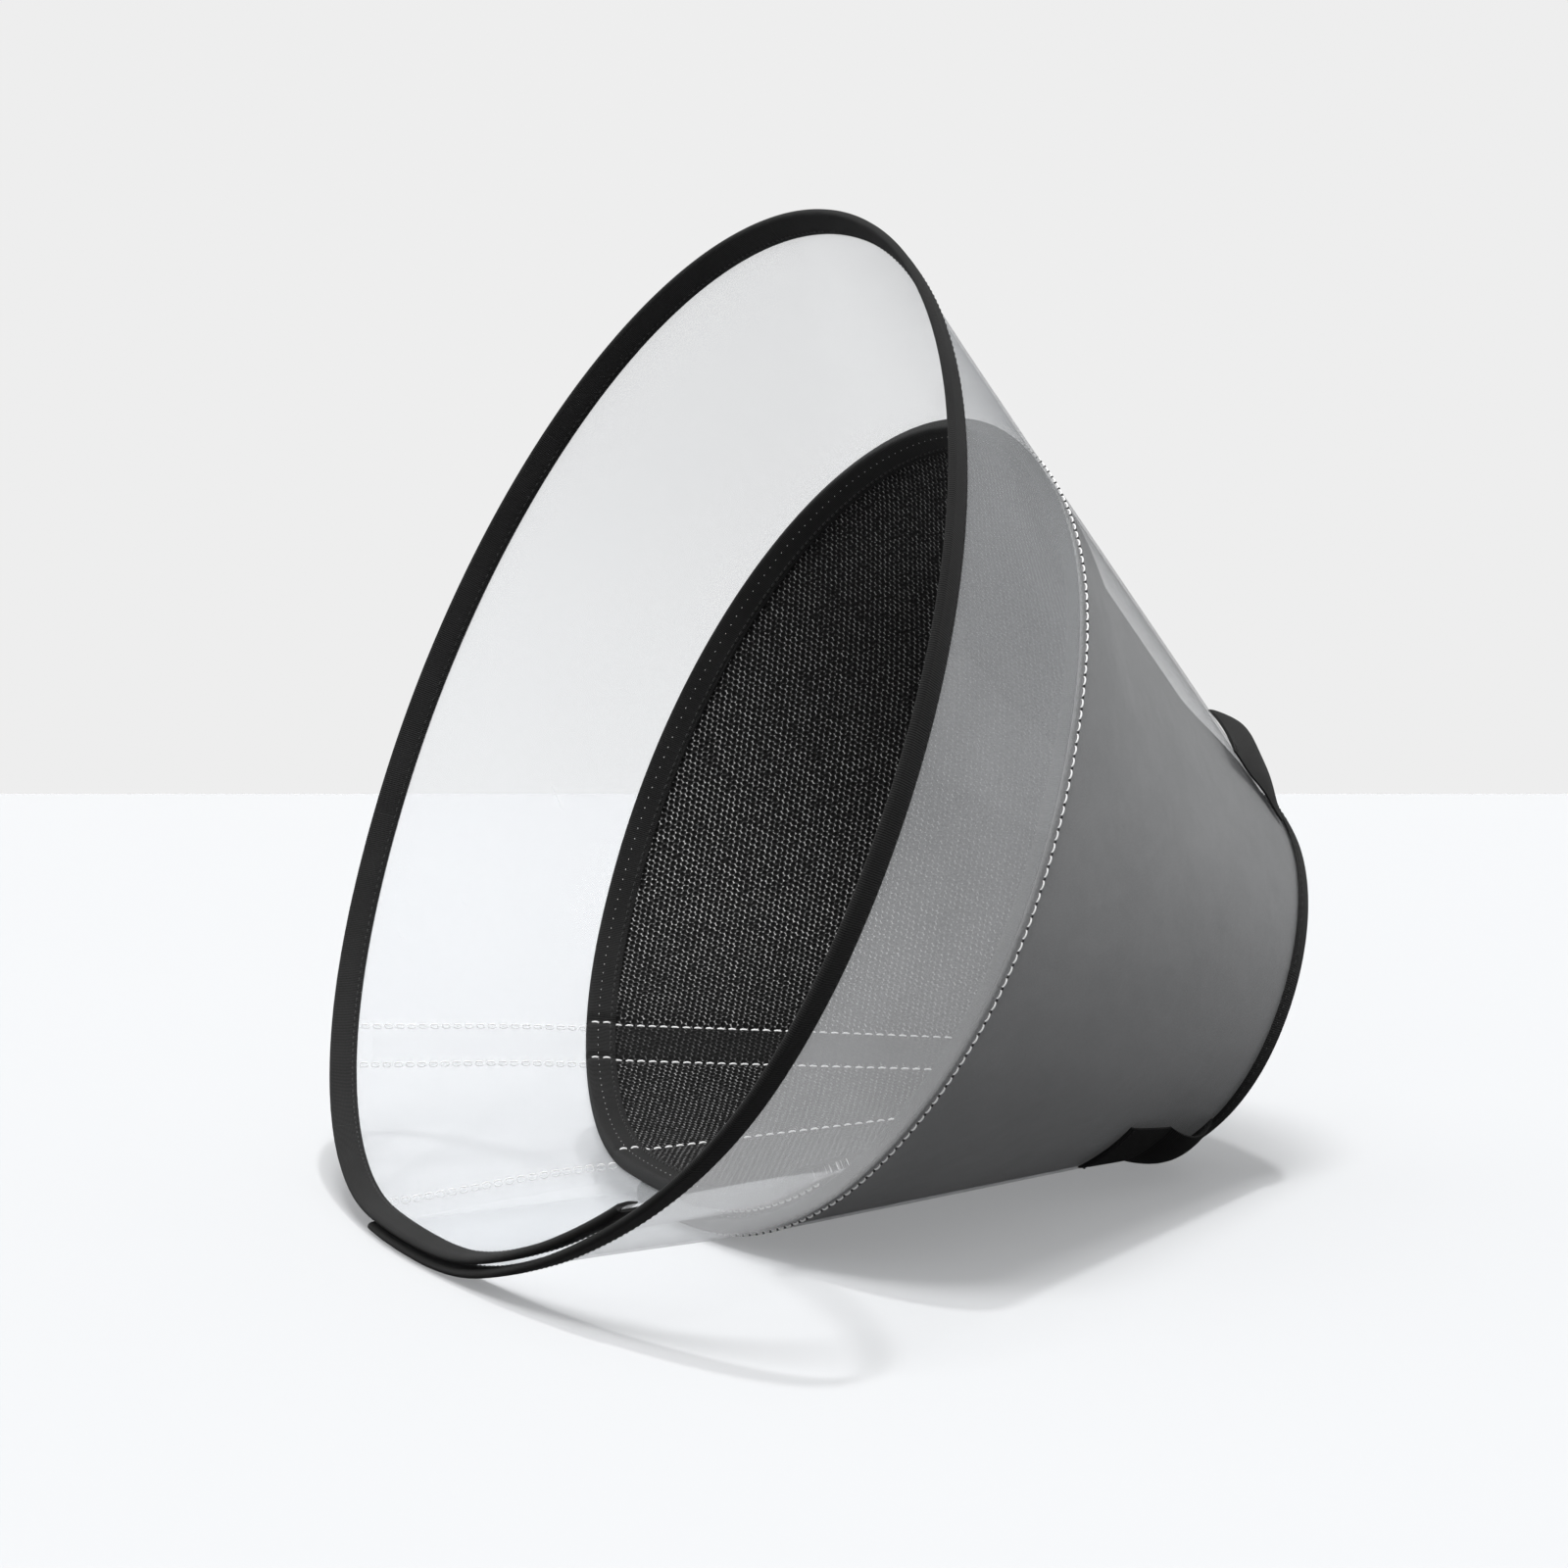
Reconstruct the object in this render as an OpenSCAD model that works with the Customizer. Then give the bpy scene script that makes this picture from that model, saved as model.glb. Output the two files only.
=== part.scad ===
// Elizabethan (recovery) collar for a pet: a clear flexible cone with a padded
// neck panel, lying on its side on the flat of its closure.
// The cone opens towards -X, and its axis rises from the floor towards the rim.
// The near side is -Y, the far side is +Y. The origin is on the floor, midway
// between the sides and under the middle of the rim binding's width.
// A point of a wall is described by three numbers: the distance from the apex
// along the wall, the offset outwards from the clear sheet's outer face, and
// the position round the wall, in degrees of the flat cutting pattern.

/* [Cone] */
// Half angle of the cone wall
cone_half = 29; // [28:0.25:30]
// Angle of the cone axis above the floor
axis_rise = 25.75; // [25:0.25:27]
// Distance from the apex to the rim edge, along the wall
rim_dist = 409; // [380:1:440]
// Distance from the apex to the front edge of the padded panel
pad_dist = 318; // [300:1:330]
// Distance from the apex to the neck edge
neck_dist = 142; // [135:1:155]

/* [Materials] */
// Thickness of the clear sheet
sheet_thick = 0.8; // [0.5:0.1:1]
// Thickness of the outer fabric
fabric_thick = 0.7; // [0.4:0.1:0.8]
// Thickness of the spacer mesh lining
mesh_thick = 2.9; // [2:0.1:3]
// Thickness of the binding tape
tape_thick = 1.2; // [0.8:0.1:1.2]
// Width of the rim binding on each face
rim_tape_width = 8.6; // [6:0.2:12]
// Width of the neck binding on each face
neck_tape_width = 7; // [5:0.5:12]
// Width of the binding along the front edge of the panel
pad_tape_width = 9.4; // [6:0.2:12]

/* [Closure] */
// Angle about the axis of the outer flap's free end, before the middle of the base
outer_end = 12; // [8:0.5:16]
// Angle about the axis of the inner flap's free end, past the middle of the base
inner_end = 45; // [36:0.5:46]
// How far the inner flap lies inside the outer flap
flap_step = 8; // [8:0.1:9]
// Width of the looser loop strip
strip_width = 19; // [14:1:20]

/* [Neck loops] */
// Width of a neck loop's tape
loop_width = 25; // [20:1:28]
// Length of a neck loop along the wall
loop_length = 44; // [36:1:48]
// Height of a neck loop's bulge
loop_height = 7; // [5:0.5:8]

/* [Hidden] */
$fn = 96;

clear = [0.9, 0.92, 0.93, 0.4];
grey = [0.4, 0.41, 0.42];
black = [0.13, 0.13, 0.135];
lining = [0.17, 0.17, 0.175];
milky = [0.93, 0.94, 0.95, 0.6];

// Slack left between two layers
gap = 0.1;
// Half of the slit left at each fold line, in degrees about the cone axis
slit = 0.3;

// Half width of the flat base in the pattern, and where it meets the curved
// wall about the cone axis
base_half = acos(cos(cone_half) / cos(axis_rise));
crease = acos(tan(axis_rise) / tan(cone_half));
// Pattern angle of one whole turn
turn = 2 * base_half + (360 - 2 * crease) * sin(cone_half);
// Fold lines: equal panels between the base and the inner flap
panel_count = 6;
fold_first = 15.3;
fold_last = turn - 25.55;
function fold(i) = fold_first + (fold_last - fold_first) * i / panel_count;
// Angle about the cone axis of a pattern angle on the curved wall
function about(pattern) = crease + (pattern - base_half) / sin(cone_half);
// Half the angle about the cone axis that a width takes up at a distance
function half_angle(width, dist) = width / 2 / (dist * sin(cone_half)) * 180 / PI;

// Distances along the wall: [near the neck, near the rim]
sheet_dist = [neck_dist, rim_dist];
panel_dist = [neck_dist, pad_dist];
// Offsets of each layer's faces: [inner, outer]
sheet_offs = [-sheet_thick, 0];
fabric_outer = -sheet_thick - gap;
fabric_offs = [fabric_outer - fabric_thick, fabric_outer];
mesh_outer = fabric_offs[0] - gap;
mesh_offs = [mesh_outer - mesh_thick, mesh_outer];

// Each binding's tape faces, and the faces of the room inside its fold
tape_outer = gap + tape_thick;
rim_room_offs = [-sheet_thick - gap, gap];
rim_tape_offs = [rim_room_offs[0] - tape_thick, tape_outer];
lined_inner = mesh_offs[0] - gap;
neck_room_offs = [lined_inner, gap];
neck_tape_offs = [lined_inner - tape_thick, tape_outer];
pad_tape_offs = [lined_inner - tape_thick, fabric_outer];
// Distances of each binding's open edge, fold room and outer fold
rim_open = rim_dist - rim_tape_width;
rim_room = rim_dist + gap;
rim_fold = rim_room + tape_thick;
pad_open = pad_dist - pad_tape_width;
pad_room = pad_dist + gap;
pad_fold = pad_room + tape_thick;
neck_open = neck_dist + neck_tape_width;
neck_room = neck_dist - gap;
neck_fold = neck_room - tape_thick;

// Flat pieces: [start angle, end angle, step inwards], angles about the axis
// The base, from the outer flap's free end to the first fold line
base = [-outer_end, about(fold_first) - slit, 0];
// The inner flap, from the last fold line to its free end inside the base
flap = [about(fold_last) - 360 + slit, inner_end, flap_step];

// ---- Shaping ----

// Moves the apex of the wall to its place: the rim's tape rests on the floor
module from_apex() {
    translate([rim_dist - rim_tape_width / 2, 0, tape_thick + gap]) children();
}

// Stands the cone axis up from the floor, with the flat base downwards
module on_axis() {
    from_apex() rotate([0, axis_rise - 90, 0]) rotate([0, 0, 180]) children();
}

// Radius and height about the cone axis of a [distance, offset] point
function wall(point) = [
    point[0] * sin(cone_half) + point[1] * cos(cone_half),
    point[0] * cos(cone_half) - point[1] * sin(cone_half)
];

// One curved panel between two angles about the axis, from a wall profile
module panel(start, end, profile) {
    on_axis() rotate([0, 0, start]) rotate_extrude(angle = end - start)
        polygon([for (point = profile) wall(point)]);
}

// Curved panel i, with the fold line slits taken off
module fold_panel(i, profile) {
    panel(about(fold(i - 1)) + slit, about(fold(i)) - slit, profile);
}

// Profile of a plain layer
function band(dist, offs) = [
    [dist[0], offs[0]], [dist[1], offs[0]],
    [dist[1], offs[1]], [dist[0], offs[1]]
];

// Profile of a tape folded over an edge, covering both faces
function folded_tape(open, room, fold, tape_offs, room_offs) = [
    [open, tape_offs[0]], [fold, tape_offs[0]],
    [fold, tape_offs[1]], [open, tape_offs[1]],
    [open, room_offs[1]], [room, room_offs[1]],
    [room, room_offs[0]], [open, room_offs[0]]
];

// Everything inside the wall at an offset: a cone cut by the flat base
cone_reach = 480;
block = 640;
block_front = -560;
module inside(offset_out) {
    intersection() {
        on_axis() translate([0, 0, -offset_out / sin(cone_half)])
            cylinder(h = cone_reach, r1 = 0, r2 = cone_reach * tan(cone_half));
        from_apex() translate([block_front, -block / 2, -offset_out]) cube([block, block, block]);
    }
}

// A layer over a flat piece and the curve beside it, widened by a margin in
// degrees at both ends; the wedge only has to reach past the wall
wedge_radii = [1, 300];
wedge_heights = [20, 470];
module flat_layer(piece, dist, offs, margin = 0) {
    start = piece[0] - margin;
    end = piece[1] + margin;
    intersection() {
        difference() {
            inside(offs[1] - piece[2]);
            inside(offs[0] - piece[2]);
        }
        on_axis() rotate([0, 0, start]) rotate_extrude(angle = end - start)
            polygon(band(wedge_radii, wedge_heights));
        from_apex() difference() {
            sphere(r = dist[1]);
            sphere(r = dist[0]);
        }
    }
}

// A tape over a flat piece, with the room inside its fold cut out
overcut = 2; // past the open edge in mm, and past both ends in degrees
module flat_tape(piece, tape_dist, tape_offs, room_dist, room_offs) {
    difference() {
        flat_layer(piece, tape_dist, tape_offs);
        flat_layer(piece, room_dist, room_offs, overcut);
    }
}

// ---- Layers ----

module clear_sheet(i) { color(clear) fold_panel(i, band(sheet_dist, sheet_offs)); }
module clear_sheet_base() { color(clear) flat_layer(base, sheet_dist, sheet_offs); }
module clear_sheet_inner_flap() { color(clear) flat_layer(flap, sheet_dist, sheet_offs); }

module outer_fabric(i) { color(grey) fold_panel(i, band(panel_dist, fabric_offs)); }
module outer_fabric_base() { color(grey) flat_layer(base, panel_dist, fabric_offs); }
module outer_fabric_inner_flap() { color(grey) flat_layer(flap, panel_dist, fabric_offs); }

module mesh_lining(i) { color(lining) fold_panel(i, band(panel_dist, mesh_offs)); }
module mesh_lining_base() { color(lining) flat_layer(base, panel_dist, mesh_offs); }
module mesh_lining_inner_flap() { color(lining) flat_layer(flap, panel_dist, mesh_offs); }

// ---- Bindings ----

// Tape folded over the rim of the sheet
module rim_binding(i) {
    color(black) fold_panel(i,
        folded_tape(rim_open, rim_room, rim_fold, rim_tape_offs, rim_room_offs));
}
module rim_flat_tape(piece) {
    flat_tape(piece, [rim_open, rim_fold], rim_tape_offs,
        [rim_open - overcut, rim_room], rim_room_offs);
}
module rim_binding_base() { color(black) rim_flat_tape(base); }
module rim_binding_inner_flap() { color(black) rim_flat_tape(flap); }

// Tape over the front edge of the padded panel, on the inside of the cone
module panel_binding(i) {
    color(black) fold_panel(i, [
        [pad_open, pad_tape_offs[0]], [pad_fold, pad_tape_offs[0]],
        [pad_fold, fabric_outer], [pad_room, fabric_outer],
        [pad_room, lined_inner], [pad_open, lined_inner]
    ]);
}
pad_overcut = 3; // past the tape's outer face
module panel_flat_tape(piece) {
    flat_tape(piece, [pad_open, pad_fold], pad_tape_offs,
        [pad_open - overcut, pad_room], [lined_inner, fabric_outer + pad_overcut]);
}
module panel_binding_base() { color(black) panel_flat_tape(base); }
module panel_binding_inner_flap() { color(black) panel_flat_tape(flap); }

// Tape folded over the neck edge of the sheet and the panel together
module neck_binding(i) {
    color(black) fold_panel(i,
        folded_tape(neck_open, neck_room, neck_fold, neck_tape_offs, neck_room_offs));
}
module neck_flat_tape(piece) {
    flat_tape(piece, [neck_fold, neck_open], neck_tape_offs,
        [neck_room, neck_open + overcut], neck_room_offs);
}
module neck_binding_base() { color(black) neck_flat_tape(base); }
module neck_binding_inner_flap() { color(black) neck_flat_tape(flap); }

// ---- Hook and loop strips ----

// Where the strips start and stop short of the neck, and of the front or rim
strip_start = neck_dist + 12;
strip_margin = 14;
loop_strip_dist = [strip_start, rim_dist - strip_margin];
// Angles of the strips from the outer flap's free end
hook_angles = [0.6, 7.2];
tight_angles = [-4, 3.4];
// Depth of the hook strip's inner face below the lining
hook_depth = 1.2;
// Outer faces of the loop strips, above the inner flap
tight_top = 1;
loose_top = 0.9;
// The loose strip's middle, as a pattern angle, and where its width is measured
loose_middle = turn - 22.2;
loose_width_dist = 280;

// Hook strip inside the outer flap, next to its free end
module hook_strip() {
    color(milky) flat_layer([base[0] + hook_angles[0], base[0] + hook_angles[1], 0],
        [strip_start, pad_dist - strip_margin], [mesh_offs[0] - hook_depth, mesh_offs[0] - gap]);
}

// Loop strip on the outside of the inner flap, partly facing the hook strip
module loop_strip_tight() {
    color(milky) flat_layer([base[0] + tight_angles[0], base[0] + tight_angles[1], flap_step],
        loop_strip_dist, [gap, tight_top]);
}

// Loop strip at another place round the inner flap, for a different fit
module loop_strip_loose() {
    middle = about(loose_middle);
    half = half_angle(strip_width, loose_width_dist);
    color(milky) panel(middle - half, middle + half,
        band(loop_strip_dist, [gap - flap_step, loose_top - flap_step]));
}

// ---- Neck loops ----

loop_start = neck_dist + neck_tape_width + 1;
loop_thick = 1.1;
loop_base = gap + 0.1; // offset of the underside at both ends
loop_width_dist = 165; // where the loop's width is measured
loop_steps = 16;
bulge_power = 0.8; // below 1 makes the bulge fuller than a sine
function bulge(part) = loop_height * pow(sin(180 * part), bulge_power);
function loop_point(k, lift) =
    [loop_start + k / loop_steps * loop_length, loop_base + lift + bulge(k / loop_steps)];

// A loop of tape fixed at both ends, for the pet's own collar
module collar_loop(pattern) {
    half = half_angle(loop_width, loop_width_dist);
    panel(about(pattern) - half, about(pattern) + half, concat(
        [for (k = [0:loop_steps]) loop_point(k, loop_thick)],
        [for (k = [loop_steps:-1:0]) loop_point(k, 0)]));
}
module collar_loop_near() { color(black) collar_loop(23); }
module collar_loop_top() { color(black) collar_loop(75); }
module collar_loop_far() { color(black) collar_loop(131.5); }

clear_sheet_base();
clear_sheet(1);  // clear_sheet_1
clear_sheet(2);  // clear_sheet_2
clear_sheet(3);  // clear_sheet_3
clear_sheet(4);  // clear_sheet_4
clear_sheet(5);  // clear_sheet_5
clear_sheet(6);  // clear_sheet_6
clear_sheet_inner_flap();
outer_fabric_base();
outer_fabric(1);  // outer_fabric_1
outer_fabric(2);  // outer_fabric_2
outer_fabric(3);  // outer_fabric_3
outer_fabric(4);  // outer_fabric_4
outer_fabric(5);  // outer_fabric_5
outer_fabric(6);  // outer_fabric_6
outer_fabric_inner_flap();
mesh_lining_base();
mesh_lining(1);  // mesh_lining_1
mesh_lining(2);  // mesh_lining_2
mesh_lining(3);  // mesh_lining_3
mesh_lining(4);  // mesh_lining_4
mesh_lining(5);  // mesh_lining_5
mesh_lining(6);  // mesh_lining_6
mesh_lining_inner_flap();
rim_binding_base();
rim_binding(1);  // rim_binding_1
rim_binding(2);  // rim_binding_2
rim_binding(3);  // rim_binding_3
rim_binding(4);  // rim_binding_4
rim_binding(5);  // rim_binding_5
rim_binding(6);  // rim_binding_6
rim_binding_inner_flap();
panel_binding_base();
panel_binding(1);  // panel_binding_1
panel_binding(2);  // panel_binding_2
panel_binding(3);  // panel_binding_3
panel_binding(4);  // panel_binding_4
panel_binding(5);  // panel_binding_5
panel_binding(6);  // panel_binding_6
panel_binding_inner_flap();
neck_binding_base();
neck_binding(1);  // neck_binding_1
neck_binding(2);  // neck_binding_2
neck_binding(3);  // neck_binding_3
neck_binding(4);  // neck_binding_4
neck_binding(5);  // neck_binding_5
neck_binding(6);  // neck_binding_6
neck_binding_inner_flap();
hook_strip();
loop_strip_tight();
loop_strip_loose();
collar_loop_near();
collar_loop_top();
collar_loop_far();
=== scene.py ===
"""Looks of a cone collar: clear wall, grey outer fabric, black spacer-mesh lining, tape bindings, stitching."""

import math

import bpy
import numpy as np
from mathutils import Matrix, Vector


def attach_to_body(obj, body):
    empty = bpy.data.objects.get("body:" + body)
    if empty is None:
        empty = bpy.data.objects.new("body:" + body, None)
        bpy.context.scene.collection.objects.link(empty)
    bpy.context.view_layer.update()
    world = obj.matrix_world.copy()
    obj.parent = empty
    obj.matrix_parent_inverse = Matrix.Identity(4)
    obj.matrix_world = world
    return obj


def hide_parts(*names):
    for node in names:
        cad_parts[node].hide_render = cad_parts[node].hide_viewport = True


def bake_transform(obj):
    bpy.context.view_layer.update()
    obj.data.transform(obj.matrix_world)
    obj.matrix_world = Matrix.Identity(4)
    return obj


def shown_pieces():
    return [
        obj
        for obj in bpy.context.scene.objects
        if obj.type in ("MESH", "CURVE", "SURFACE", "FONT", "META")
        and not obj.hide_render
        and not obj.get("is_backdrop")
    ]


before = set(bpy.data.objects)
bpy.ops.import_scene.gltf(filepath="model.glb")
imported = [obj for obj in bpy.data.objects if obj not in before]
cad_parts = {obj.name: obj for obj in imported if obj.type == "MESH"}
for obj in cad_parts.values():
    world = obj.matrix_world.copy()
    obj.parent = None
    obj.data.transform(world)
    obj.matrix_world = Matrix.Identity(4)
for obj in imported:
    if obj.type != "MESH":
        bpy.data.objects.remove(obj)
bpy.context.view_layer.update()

D2R = math.pi / 180.0
MM = 0.001

# ------------------------------------------------------------------ the wall
# The wall is a cone from one apex. Its section is a round arch on a flat base with
# rounded corners. A point is (turn about the axis, distance from the apex, offset).
CONE = 29.0 * D2R
RISE = 25.75 * D2R
AXIS = np.array([-math.cos(RISE), 0.0, math.sin(RISE)])
DOWN = np.array([-math.sin(RISE), 0.0, -math.cos(RISE)])
NEAR = np.array([0.0, -1.0, 0.0])
APEX = np.array([404.7, 0.0, 1.3])
S_RIM, S_PAD, S_NECK = 409.0, 318.0, 142.0
PH0, PH1 = -12.0, 405.0  # free end of the outer flap, free end of the inner flap
FLAP_STEP = 8.0

ARCH, ARCH_RISE, CORNER = 29.1 * D2R, 25.2 * D2R, 24.5 * D2R


def outline():
    """Directions of the wall once round, with outward normals and flat-pattern angle, by turn about AXIS."""
    al, h, r2 = ARCH, ARCH_RISE, CORNER
    c = np.array([-math.cos(h), 0.0, math.sin(h)])
    cosp = (math.cos(al - r2) - math.sin(h) * math.sin(r2)) / (math.cos(h) * math.cos(r2))
    psi = math.acos(max(-1.0, min(1.0, cosp)))
    dn = np.array([-math.sin(h), 0.0, -math.cos(h)])
    us, ns = [], []
    for a in np.linspace(0.0, psi, 40):  # floor, middle to the near corner
        us.append([-math.cos(a), -math.sin(a), 0.0])
        ns.append([0.0, 0.0, -1.0])
    e = np.array([-math.cos(r2) * math.cos(psi), -math.cos(r2) * math.sin(psi), math.sin(r2)])
    v0 = np.array([-math.cos(psi), -math.sin(psi), 0.0])
    x = v0 - e * (v0 @ e)
    x /= np.linalg.norm(x)
    y = np.cross(e, x)
    m = e - c * math.cos(al - r2)
    m /= np.linalg.norm(m)
    m1 = c * math.cos(al) + m * math.sin(al)
    w = m1 - e * (m1 @ e)
    om = math.atan2(w @ y, w @ x)
    for k in np.linspace(0.0, om, 60)[1:]:
        u = e * math.cos(r2) + math.sin(r2) * (x * math.cos(k) + y * math.sin(k))
        us.append(u)
        ns.append((math.cos(r2) * u - e) / math.sin(r2))
    b0 = math.atan2(m1 @ NEAR, m1 @ dn)
    for b in np.linspace(b0, math.pi, 240)[1:]:
        u = c * math.cos(al) + math.sin(al) * (dn * math.cos(b) + NEAR * math.sin(b))
        us.append(u)
        ns.append((math.cos(al) * u - c) / math.sin(al))
    us, ns = np.array(us), np.array(ns)
    us = us / np.linalg.norm(us, axis=1)[:, None]
    step = np.linalg.norm(np.diff(us, axis=0), axis=1)
    t = np.concatenate([[0.0], np.cumsum(step)]) / D2R
    az = np.arctan2(us @ NEAR, us @ DOWN) / D2R
    az[0], az[-1] = 0.0, 180.0
    mir = np.array([1.0, -1.0, 1.0])
    us = np.concatenate([us, (us * mir)[-2::-1]])
    ns = np.concatenate([ns, (ns * mir)[-2::-1]])
    t = np.concatenate([t, 2 * t[-1] - t[-2::-1]])
    az = np.concatenate([az, 360.0 - az[-2::-1]])
    return az, us, ns, t


OAZ, OU, ON, OT = outline()
TURN = OT[-1]


def smooth(x, a, b):
    x = np.clip((np.asarray(x, float) - a) / (b - a), 0, 1)
    return x * x * (3 - 2 * x)


def around(ph):
    m = np.mod(ph, 360.0)
    u = np.stack([np.interp(m, OAZ, OU[:, k]) for k in range(3)], -1)
    n = np.stack([np.interp(m, OAZ, ON[:, k]) for k in range(3)], -1)
    u /= np.linalg.norm(u, axis=-1, keepdims=True)
    n -= u * (n * u).sum(-1, keepdims=True)
    n /= np.linalg.norm(n, axis=-1, keepdims=True)
    return u, n


def pattern(ph):
    """Angle on the flat pattern."""
    return np.interp(np.mod(ph, 360.0), OAZ, OT) + TURN * np.floor(np.asarray(ph, float) / 360.0)


def step_in(ph, s):
    """How far the wall has moved inward so that its free end lies inside the outer flap."""
    depth = FLAP_STEP - 3.4 * smooth(s, 330, 409)
    return -smooth(ph, 281, 317) * depth


def pull_in(ph, s):
    """The near bottom corner of the open end is drawn in a little."""
    m = np.mod(np.asarray(ph, float), 360.0)
    m = np.where(m > 300, m - 360, m)
    return -4.5 * smooth(m, 5, 30) * (1 - smooth(m, 34, 66)) * smooth(s, 300, 409)


def sag(ph, s):
    """The fabric and the lining hang a little away from the clear sheet along the top."""
    return -5.0 * smooth(ph, 100, 150) * (1 - smooth(ph, 200, 250)) * smooth(s, 164, 214) * (1 - smooth(s, 268, 304))


def place(ph, s, o, hang=False):
    ph, s, o = np.broadcast_arrays(np.asarray(ph, float), np.asarray(s, float), np.asarray(o, float))
    u, n = around(ph)
    off = o + step_in(ph, s) + pull_in(ph, s)
    if hang:
        off = off + sag(ph, s)
    # long soft waves of a sheet that was rolled and folded, none of it off the floor side
    wave = 0.35 * np.sin(ph * D2R * 7.0 + s * 0.012) * smooth(ph, 30, 60) * (1 - smooth(ph, 260, 283))
    wave = wave * smooth(s, 170, 230) * (1 - smooth(s, 370, 400))
    return APEX + s[..., None] * u + (off + wave)[..., None] * n


def face_dir(ph, s, o, hang=False):
    e = 0.2
    a = place(ph + e, s, o, hang) - place(ph - e, s, o, hang)
    b = place(ph, s + e, o, hang) - place(ph, s - e, o, hang)
    m = np.cross(a, b)
    m /= np.linalg.norm(m, axis=-1, keepdims=True)
    _, n = around(ph)
    return m * np.sign((m * n).sum(-1, keepdims=True))


def flat_xy(ph, s):
    t = (pattern(ph) - 0.5 * TURN) * D2R
    s = np.asarray(s, float)
    return np.stack([s * np.sin(t) * MM, s * np.cos(t) * MM], -1)


# Where the wall is cut into pieces: each soft fold lies within one piece of its own.
# name, from, to, body a, body b, turn of the fold line, weight at the start, weight at the end
SPANS = [
    ("base", PH0, 4.0, "base", None, 0, 0, 0),
    ("w1", 4.0, 55.38, "base", "panel_1", 32.57, 0.0, 0.802),
    ("w2", 55.38, 101.0, "panel_1", "panel_2", 78.19, 0.25, 0.75),
    ("w3", 101.0, 146.62, "panel_2", "panel_3", 123.81, 0.25, 0.75),
    ("w4", 146.62, 192.24, "panel_3", "panel_4", 169.43, 0.25, 0.770),
    ("w5", 192.24, 237.86, "panel_4", "panel_5", 215.05, 0.2735, 0.794),
    ("w6", 237.86, 283.47, "panel_5", "panel_6", 260.67, 0.318, 0.943),
    ("w7", 283.47, 326.0, "panel_6", "inner_flap", 306.29, 0.25, 1.0),
    ("flap", 326.0, PH1, "inner_flap", None, 0, 0, 0),
]
CAD_OF = {"base": "base", "w1": "1", "w2": "2", "w3": "3", "w4": "4", "w5": "5", "w6": "6", "flap": "inner_flap"}


def attach(obj, span):
    """obj follows its span's body; a span across a fold is only baked in place and is not made to bend."""
    name, a0, a1, ba, bb, fold, w0, w1 = span
    if bb is None:
        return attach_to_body(obj, ba)
    ua, _ = around(np.array([a0]))
    ub, _ = around(np.array([a1]))
    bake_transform(obj)
    return obj


def stands_for(kind, span):
    if span[0] in CAD_OF:
        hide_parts(kind + "_" + CAD_OF[span[0]])


# ------------------------------------------------------------------ mesh making
class Bag:
    """Collects vertices and faces in millimetres with a turn, a UV and a normal for each corner."""

    def __init__(self):
        self.v, self.ph, self.f, self.uv, self.n, self.m = [], [], [], [], [], []
        self.count = 0

    def add(self, v, ph, faces, uv, nrm=None, mat=None):
        """faces (k,4) index v; uv (k,4,2); nrm (k,4,3) or None for flat; mat (k,)."""
        v = np.asarray(v, float).reshape(-1, 3)
        faces = np.asarray(faces, int)
        self.v.append(v)
        self.ph.append(np.broadcast_to(np.asarray(ph, float), (len(v),)).copy())
        self.f.append(faces + self.count)
        self.uv.append(np.asarray(uv, float).reshape(-1, 4, 2))
        if nrm is None:
            a, b, c, d = (v[faces[:, k]] for k in range(4))
            g = np.cross(c - a, d - b)
            g /= np.maximum(np.linalg.norm(g, axis=1), 1e-12)[:, None]
            nrm = np.repeat(g[:, None, :], 4, 1)
        self.n.append(nrm)
        self.m.append(np.zeros(len(faces), int) if mat is None else np.broadcast_to(mat, (len(faces),)))
        self.count += len(v)

    def mesh(self, name, mats):
        v = np.concatenate(self.v) * MM
        f = np.concatenate(self.f)
        uv = np.concatenate(self.uv).reshape(-1, 2)
        n = np.concatenate(self.n).reshape(-1, 3)
        me = bpy.data.meshes.new(name)
        me.vertices.add(len(v))
        me.vertices.foreach_set("co", v.astype(np.float32).ravel())
        me.loops.add(len(f) * 4)
        me.loops.foreach_set("vertex_index", f.astype(np.int32).ravel())
        me.polygons.add(len(f))
        me.polygons.foreach_set("loop_start", (np.arange(len(f)) * 4).astype(np.int32))
        me.polygons.foreach_set("loop_total", np.full(len(f), 4, np.int32))
        me.update(calc_edges=True)
        layer = me.uv_layers.new(name="pattern")
        layer.data.foreach_set("uv", uv.astype(np.float32).ravel())
        me.polygons.foreach_set("material_index", np.concatenate(self.m).astype(np.int32))
        me.polygons.foreach_set("use_smooth", np.ones(len(f), bool))
        for m in mats:
            me.materials.append(m)
        me.validate()
        if len(me.loops) == len(n):
            me.normals_split_custom_set([tuple(x) for x in n])
        me.update()
        obj = bpy.data.objects.new(name, me)
        bpy.context.scene.collection.objects.link(obj)
        return obj, np.concatenate(self.ph)


def quads(nr, nc, close_c=False, close_r=False):
    """Quad index list of an nr by nc grid."""
    i = np.arange(nr if close_r else nr - 1)
    j = np.arange(nc if close_c else nc - 1)
    ii, jj = np.meshgrid(i, j, indexing="ij")
    i2, j2 = (ii + 1) % nr, (jj + 1) % nc
    return np.stack([ii * nc + jj, i2 * nc + jj, i2 * nc + j2, ii * nc + j2], -1).reshape(-1, 4)


def outward_first(v, faces, n):
    """True if the faces' winding follows the normals n (per corner)."""
    a, b, c, d = (v[faces[:, k]] for k in range(4))
    g = np.cross(c - a, d - b)
    return (g * n[:, 0]).sum() > 0


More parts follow.
